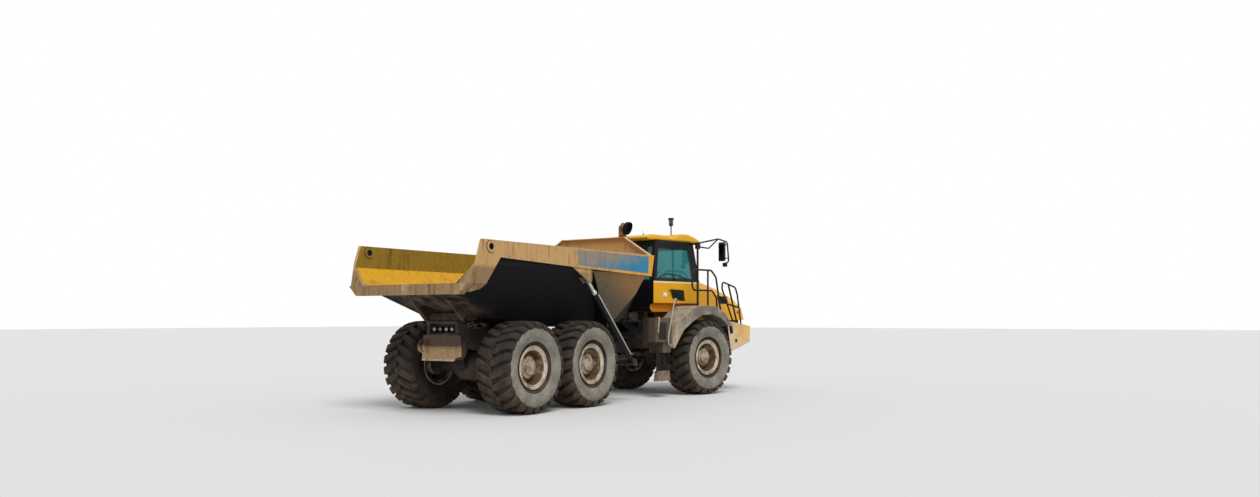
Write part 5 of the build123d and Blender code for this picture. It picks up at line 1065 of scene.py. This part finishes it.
RAIL_TOP = 2.68
rail_tubes, loop_tubes = [], []
for hand, start, loop_top in ((1, 5.71, 1.94), (-1, 5.475, 2.04)):
    y = hand * 1.35
    runs = [([(start, y, 2.24), (start - 0.06, y, 2.32), (start - 0.06, y, 2.6), (start, y, RAIL_TOP),
        (6.04, y, RAIL_TOP), (6.2, y, 2.54), (6.37, y, 1.755)], 0.0205, 0.1),
        ([(start, y, 2.24), (6.07, y, 2.24), (6.215, y, 2.09), (6.24, y, 1.846)], 0.0205, 0.1),
        ([(5.93, y, 1.9), (5.93, y, RAIL_TOP)], 0.0205, 0.05)]
    y = hand * 1.225
    runs += [
        ([(6.965, y, 1.525), (6.56, y, 2.3), (6.58, y, 2.45), (7.03, y, 2.333), (7.1, y, 2.18),
        (7.23, y, 1.5)], 0.019, 0.1), ([(6.78, y, 2.4), (7.09, y, 1.522)], 0.0205, 0.05),
        ([(6.745, y, 1.96), (7.155, y, 1.88)], 0.0205, 0.05)]
    rail_tubes += [bent_tube(*run) for run in runs]
    y = hand * 1.4445
    long_loop = [(4.8, y + hand * 0.02, loop_top - 0.09), (4.76, y + hand * 0.045, loop_top),
        (4.69, y + hand * 0.06, loop_top), (4.49, y + hand * 0.06, 1.25), (4.5, y + hand * 0.06, 1.11),
        (4.64, y + hand * 0.06, 1.05), (4.725, y, 1.085)]
    short_loop = [(4.26, y - hand * 0.022, 1.64), (4.23, y + hand * 0.05, 1.66), (4.2, y + hand * 0.05, 1.36),
        (4.26, y - hand * 0.022, 1.33)]
    loop_tubes += [bent_tube(long_loop, 0.016, 0.07), bent_tube(short_loop, 0.016, 0.05)]
piece_from("bent_handrails", rail_tubes, [black_trim], "handrails", crease=45)
loop_pale = weathered("worn loop paint", (0.42, 0.35, 0.25), (0.22, 0.17, 0.115), (0.18, 9), (0.9, 1.8), 0.2,
    grit=(0.3, 50), rough=0.6)
piece_from("bent_grab_loops", loop_tubes, [loop_pale], "grab_loops", slot="rim_cream", crease=45)


# Mirrors. A black post and a doubled arm of tube carry a tall moulded mirror head and a small
# work lamp below it, on each side.

def pillow(low, high, round_by):
    """A moulded housing: a box with rounded edges, between two corners in any order."""
    shape = bmesh.new()
    bmesh.ops.create_cube(shape, size=1)
    for corner in shape.verts:
        corner.co = Vector([(min if corner.co[i] < 0 else max)(low[i], high[i]) for i in range(3)])
    bmesh.ops.bevel(shape, geom=shape.edges[:] + shape.verts[:], offset=round_by, segments=3, profile=0.6,
        affect="EDGES")
    found = [tuple(v.co) for v in shape.verts], [[v.index for v in f.verts] for f in shape.faces], 0
    shape.free()
    return found


mirror_glass = dusted("mirror glass", (0.055, 0.058, 0.062), (0.08, 0.07, 0.06), (-0.1, 7), (1, 2), 0,
    (0.05, 0.6), Metallic=1)[0]
MIRROR_TUBES = [([(5.65, 1.3, 1.9), (5.65, 1.3, 3.25), (5.86, 0.948, 3.262)], 0.024, 0.08),
    ([(5.65, 1.3, 3.25), (6.1, 1.5, 3.36), (6.3, 1.59, 3.3), (6.35, 1.59, 2.87), (6.26, 1.56, 2.83)], 0.017,
    0.09), ([(5.65, 1.3, 3.18), (5.9, 1.4, 3.15), (6.1, 1.5, 3.36)], 0.015, 0.06),
    ([(6.264, 1.47, 3.24), (6.315, 1.59, 3.24)], 0.012, 0.02), ([(6.264, 1.47, 2.95), (6.338, 1.59, 2.95)],
    0.012, 0.02)]
MIRROR_HOUSINGS = [  # low corner, high corner, rounding: the head, the arm's block, the work lamp
    ((6.236, 1.385, 2.885), (6.292, 1.56, 3.3), 0.026), ((5.6, 1.262, 3.13), (5.7, 1.345, 3.27), 0.014),
    ((6.24, 1.5, 2.76), (6.3, 1.6, 2.85), 0.016)]
mirror_sets = []
for hand in (1, -1):
    for points, radius, bend in MIRROR_TUBES:
        mirror_sets.append(bent_tube([(x, hand * y, z) for x, y, z in points], radius, bend))
    for (low_x, low_y, low_z), (high_x, high_y, high_z), rounding in MIRROR_HOUSINGS:
        mirror_sets.append(pillow((low_x, hand * low_y, low_z), (high_x, hand * high_y, high_z), rounding))
    near, far = sorted((hand * 1.385, hand * 1.56))
    glass = [(near + 0.018, 2.908), (far - 0.018, 2.908), (far - 0.018, 3.278), (near + 0.018, 3.278)]
    mirror_sets.append(plate([(6.2355, y, z) for y, z in glass], (-0.002, 0, 0), 1))
piece_from("mirrors_on_arms", mirror_sets, [black_trim, mirror_glass], "mirrors", crease=45)


# Exhaust. A black silencer behind the cab with a tan riser and a wide black mouth cut on a slant,
# and a rusty rain flap's pin beside it. Rolled and welded steel tube.

exhaust_tan = weathered("heat-stained exhaust", (0.2, 0.13, 0.075), (0.3, 0.22, 0.14), (0.15, 6), (1.2, 3.2),
    0.2, grit=(0.4, 30), rough=0.75)
exhaust_soot = weathered("sooty mouth", (0.008, 0.008, 0.008), (0.05, 0.04, 0.03), (-0.3, 2), rough=0.8,
    shine=0.1)
rust_red = weathered("rusty cap", (0.34, 0.075, 0.04), (0.2, 0.1, 0.06), (0.1, 12), (1, 3), rough=0.8)
RISER_X, RISER_Y = 4.365, -0.3
RISER_RADIUS = 0.0845
SILENCER = [(0, 0), (0.13, 0), (0.14, 0.015), (0.14, 0.87), (0.13, 0.893), (0.088, 0.899),
    (RISER_RADIUS, 0.93), (RISER_RADIUS, 1.76), (0, 1.76)]
MOUTH = [(0, -0.18), (0.086, -0.18), (0.088, -0.0995), (0.116, -0.088), (0.133, -0.062), (0.1398, -0.0005),
    (0.1265, -0.0005), (0.122, -0.056), (0, -0.075)]
RAIN_CAP = [(0, 0.05), (0.03, 0.046), (0.046, 0.03), (0.05, 0), (0, 0)]
mouth, mouth_facing = Vector((4.38, -0.48, 3.538)), Vector((0.27, -0.91, -0.32)).normalized()
piece_from("exhaust_stack",
    [turned(SILENCER, 40, (RISER_X, RISER_Y, 1.6003), (RISER_X, RISER_Y, 3), [3, 3, 3, 3, 3, 0, 0, 0]),
    bent_tube([(RISER_X, RISER_Y, 3.3), (RISER_X, RISER_Y, 3.5), tuple(mouth - mouth_facing * 0.16)],
    RISER_RADIUS, 0.07, 24), turned(MOUTH, 40, mouth, mouth + mouth_facing, [0, 0, 0, 1, 1, 1, 1, 1]),
    turned(RAIN_CAP, 20, (4.298, -0.342, 3.41), (4.198, -0.402, 3.425), 2)],
    [exhaust_tan, exhaust_soot, rust_red, black_trim], "exhaust")

low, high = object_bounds()
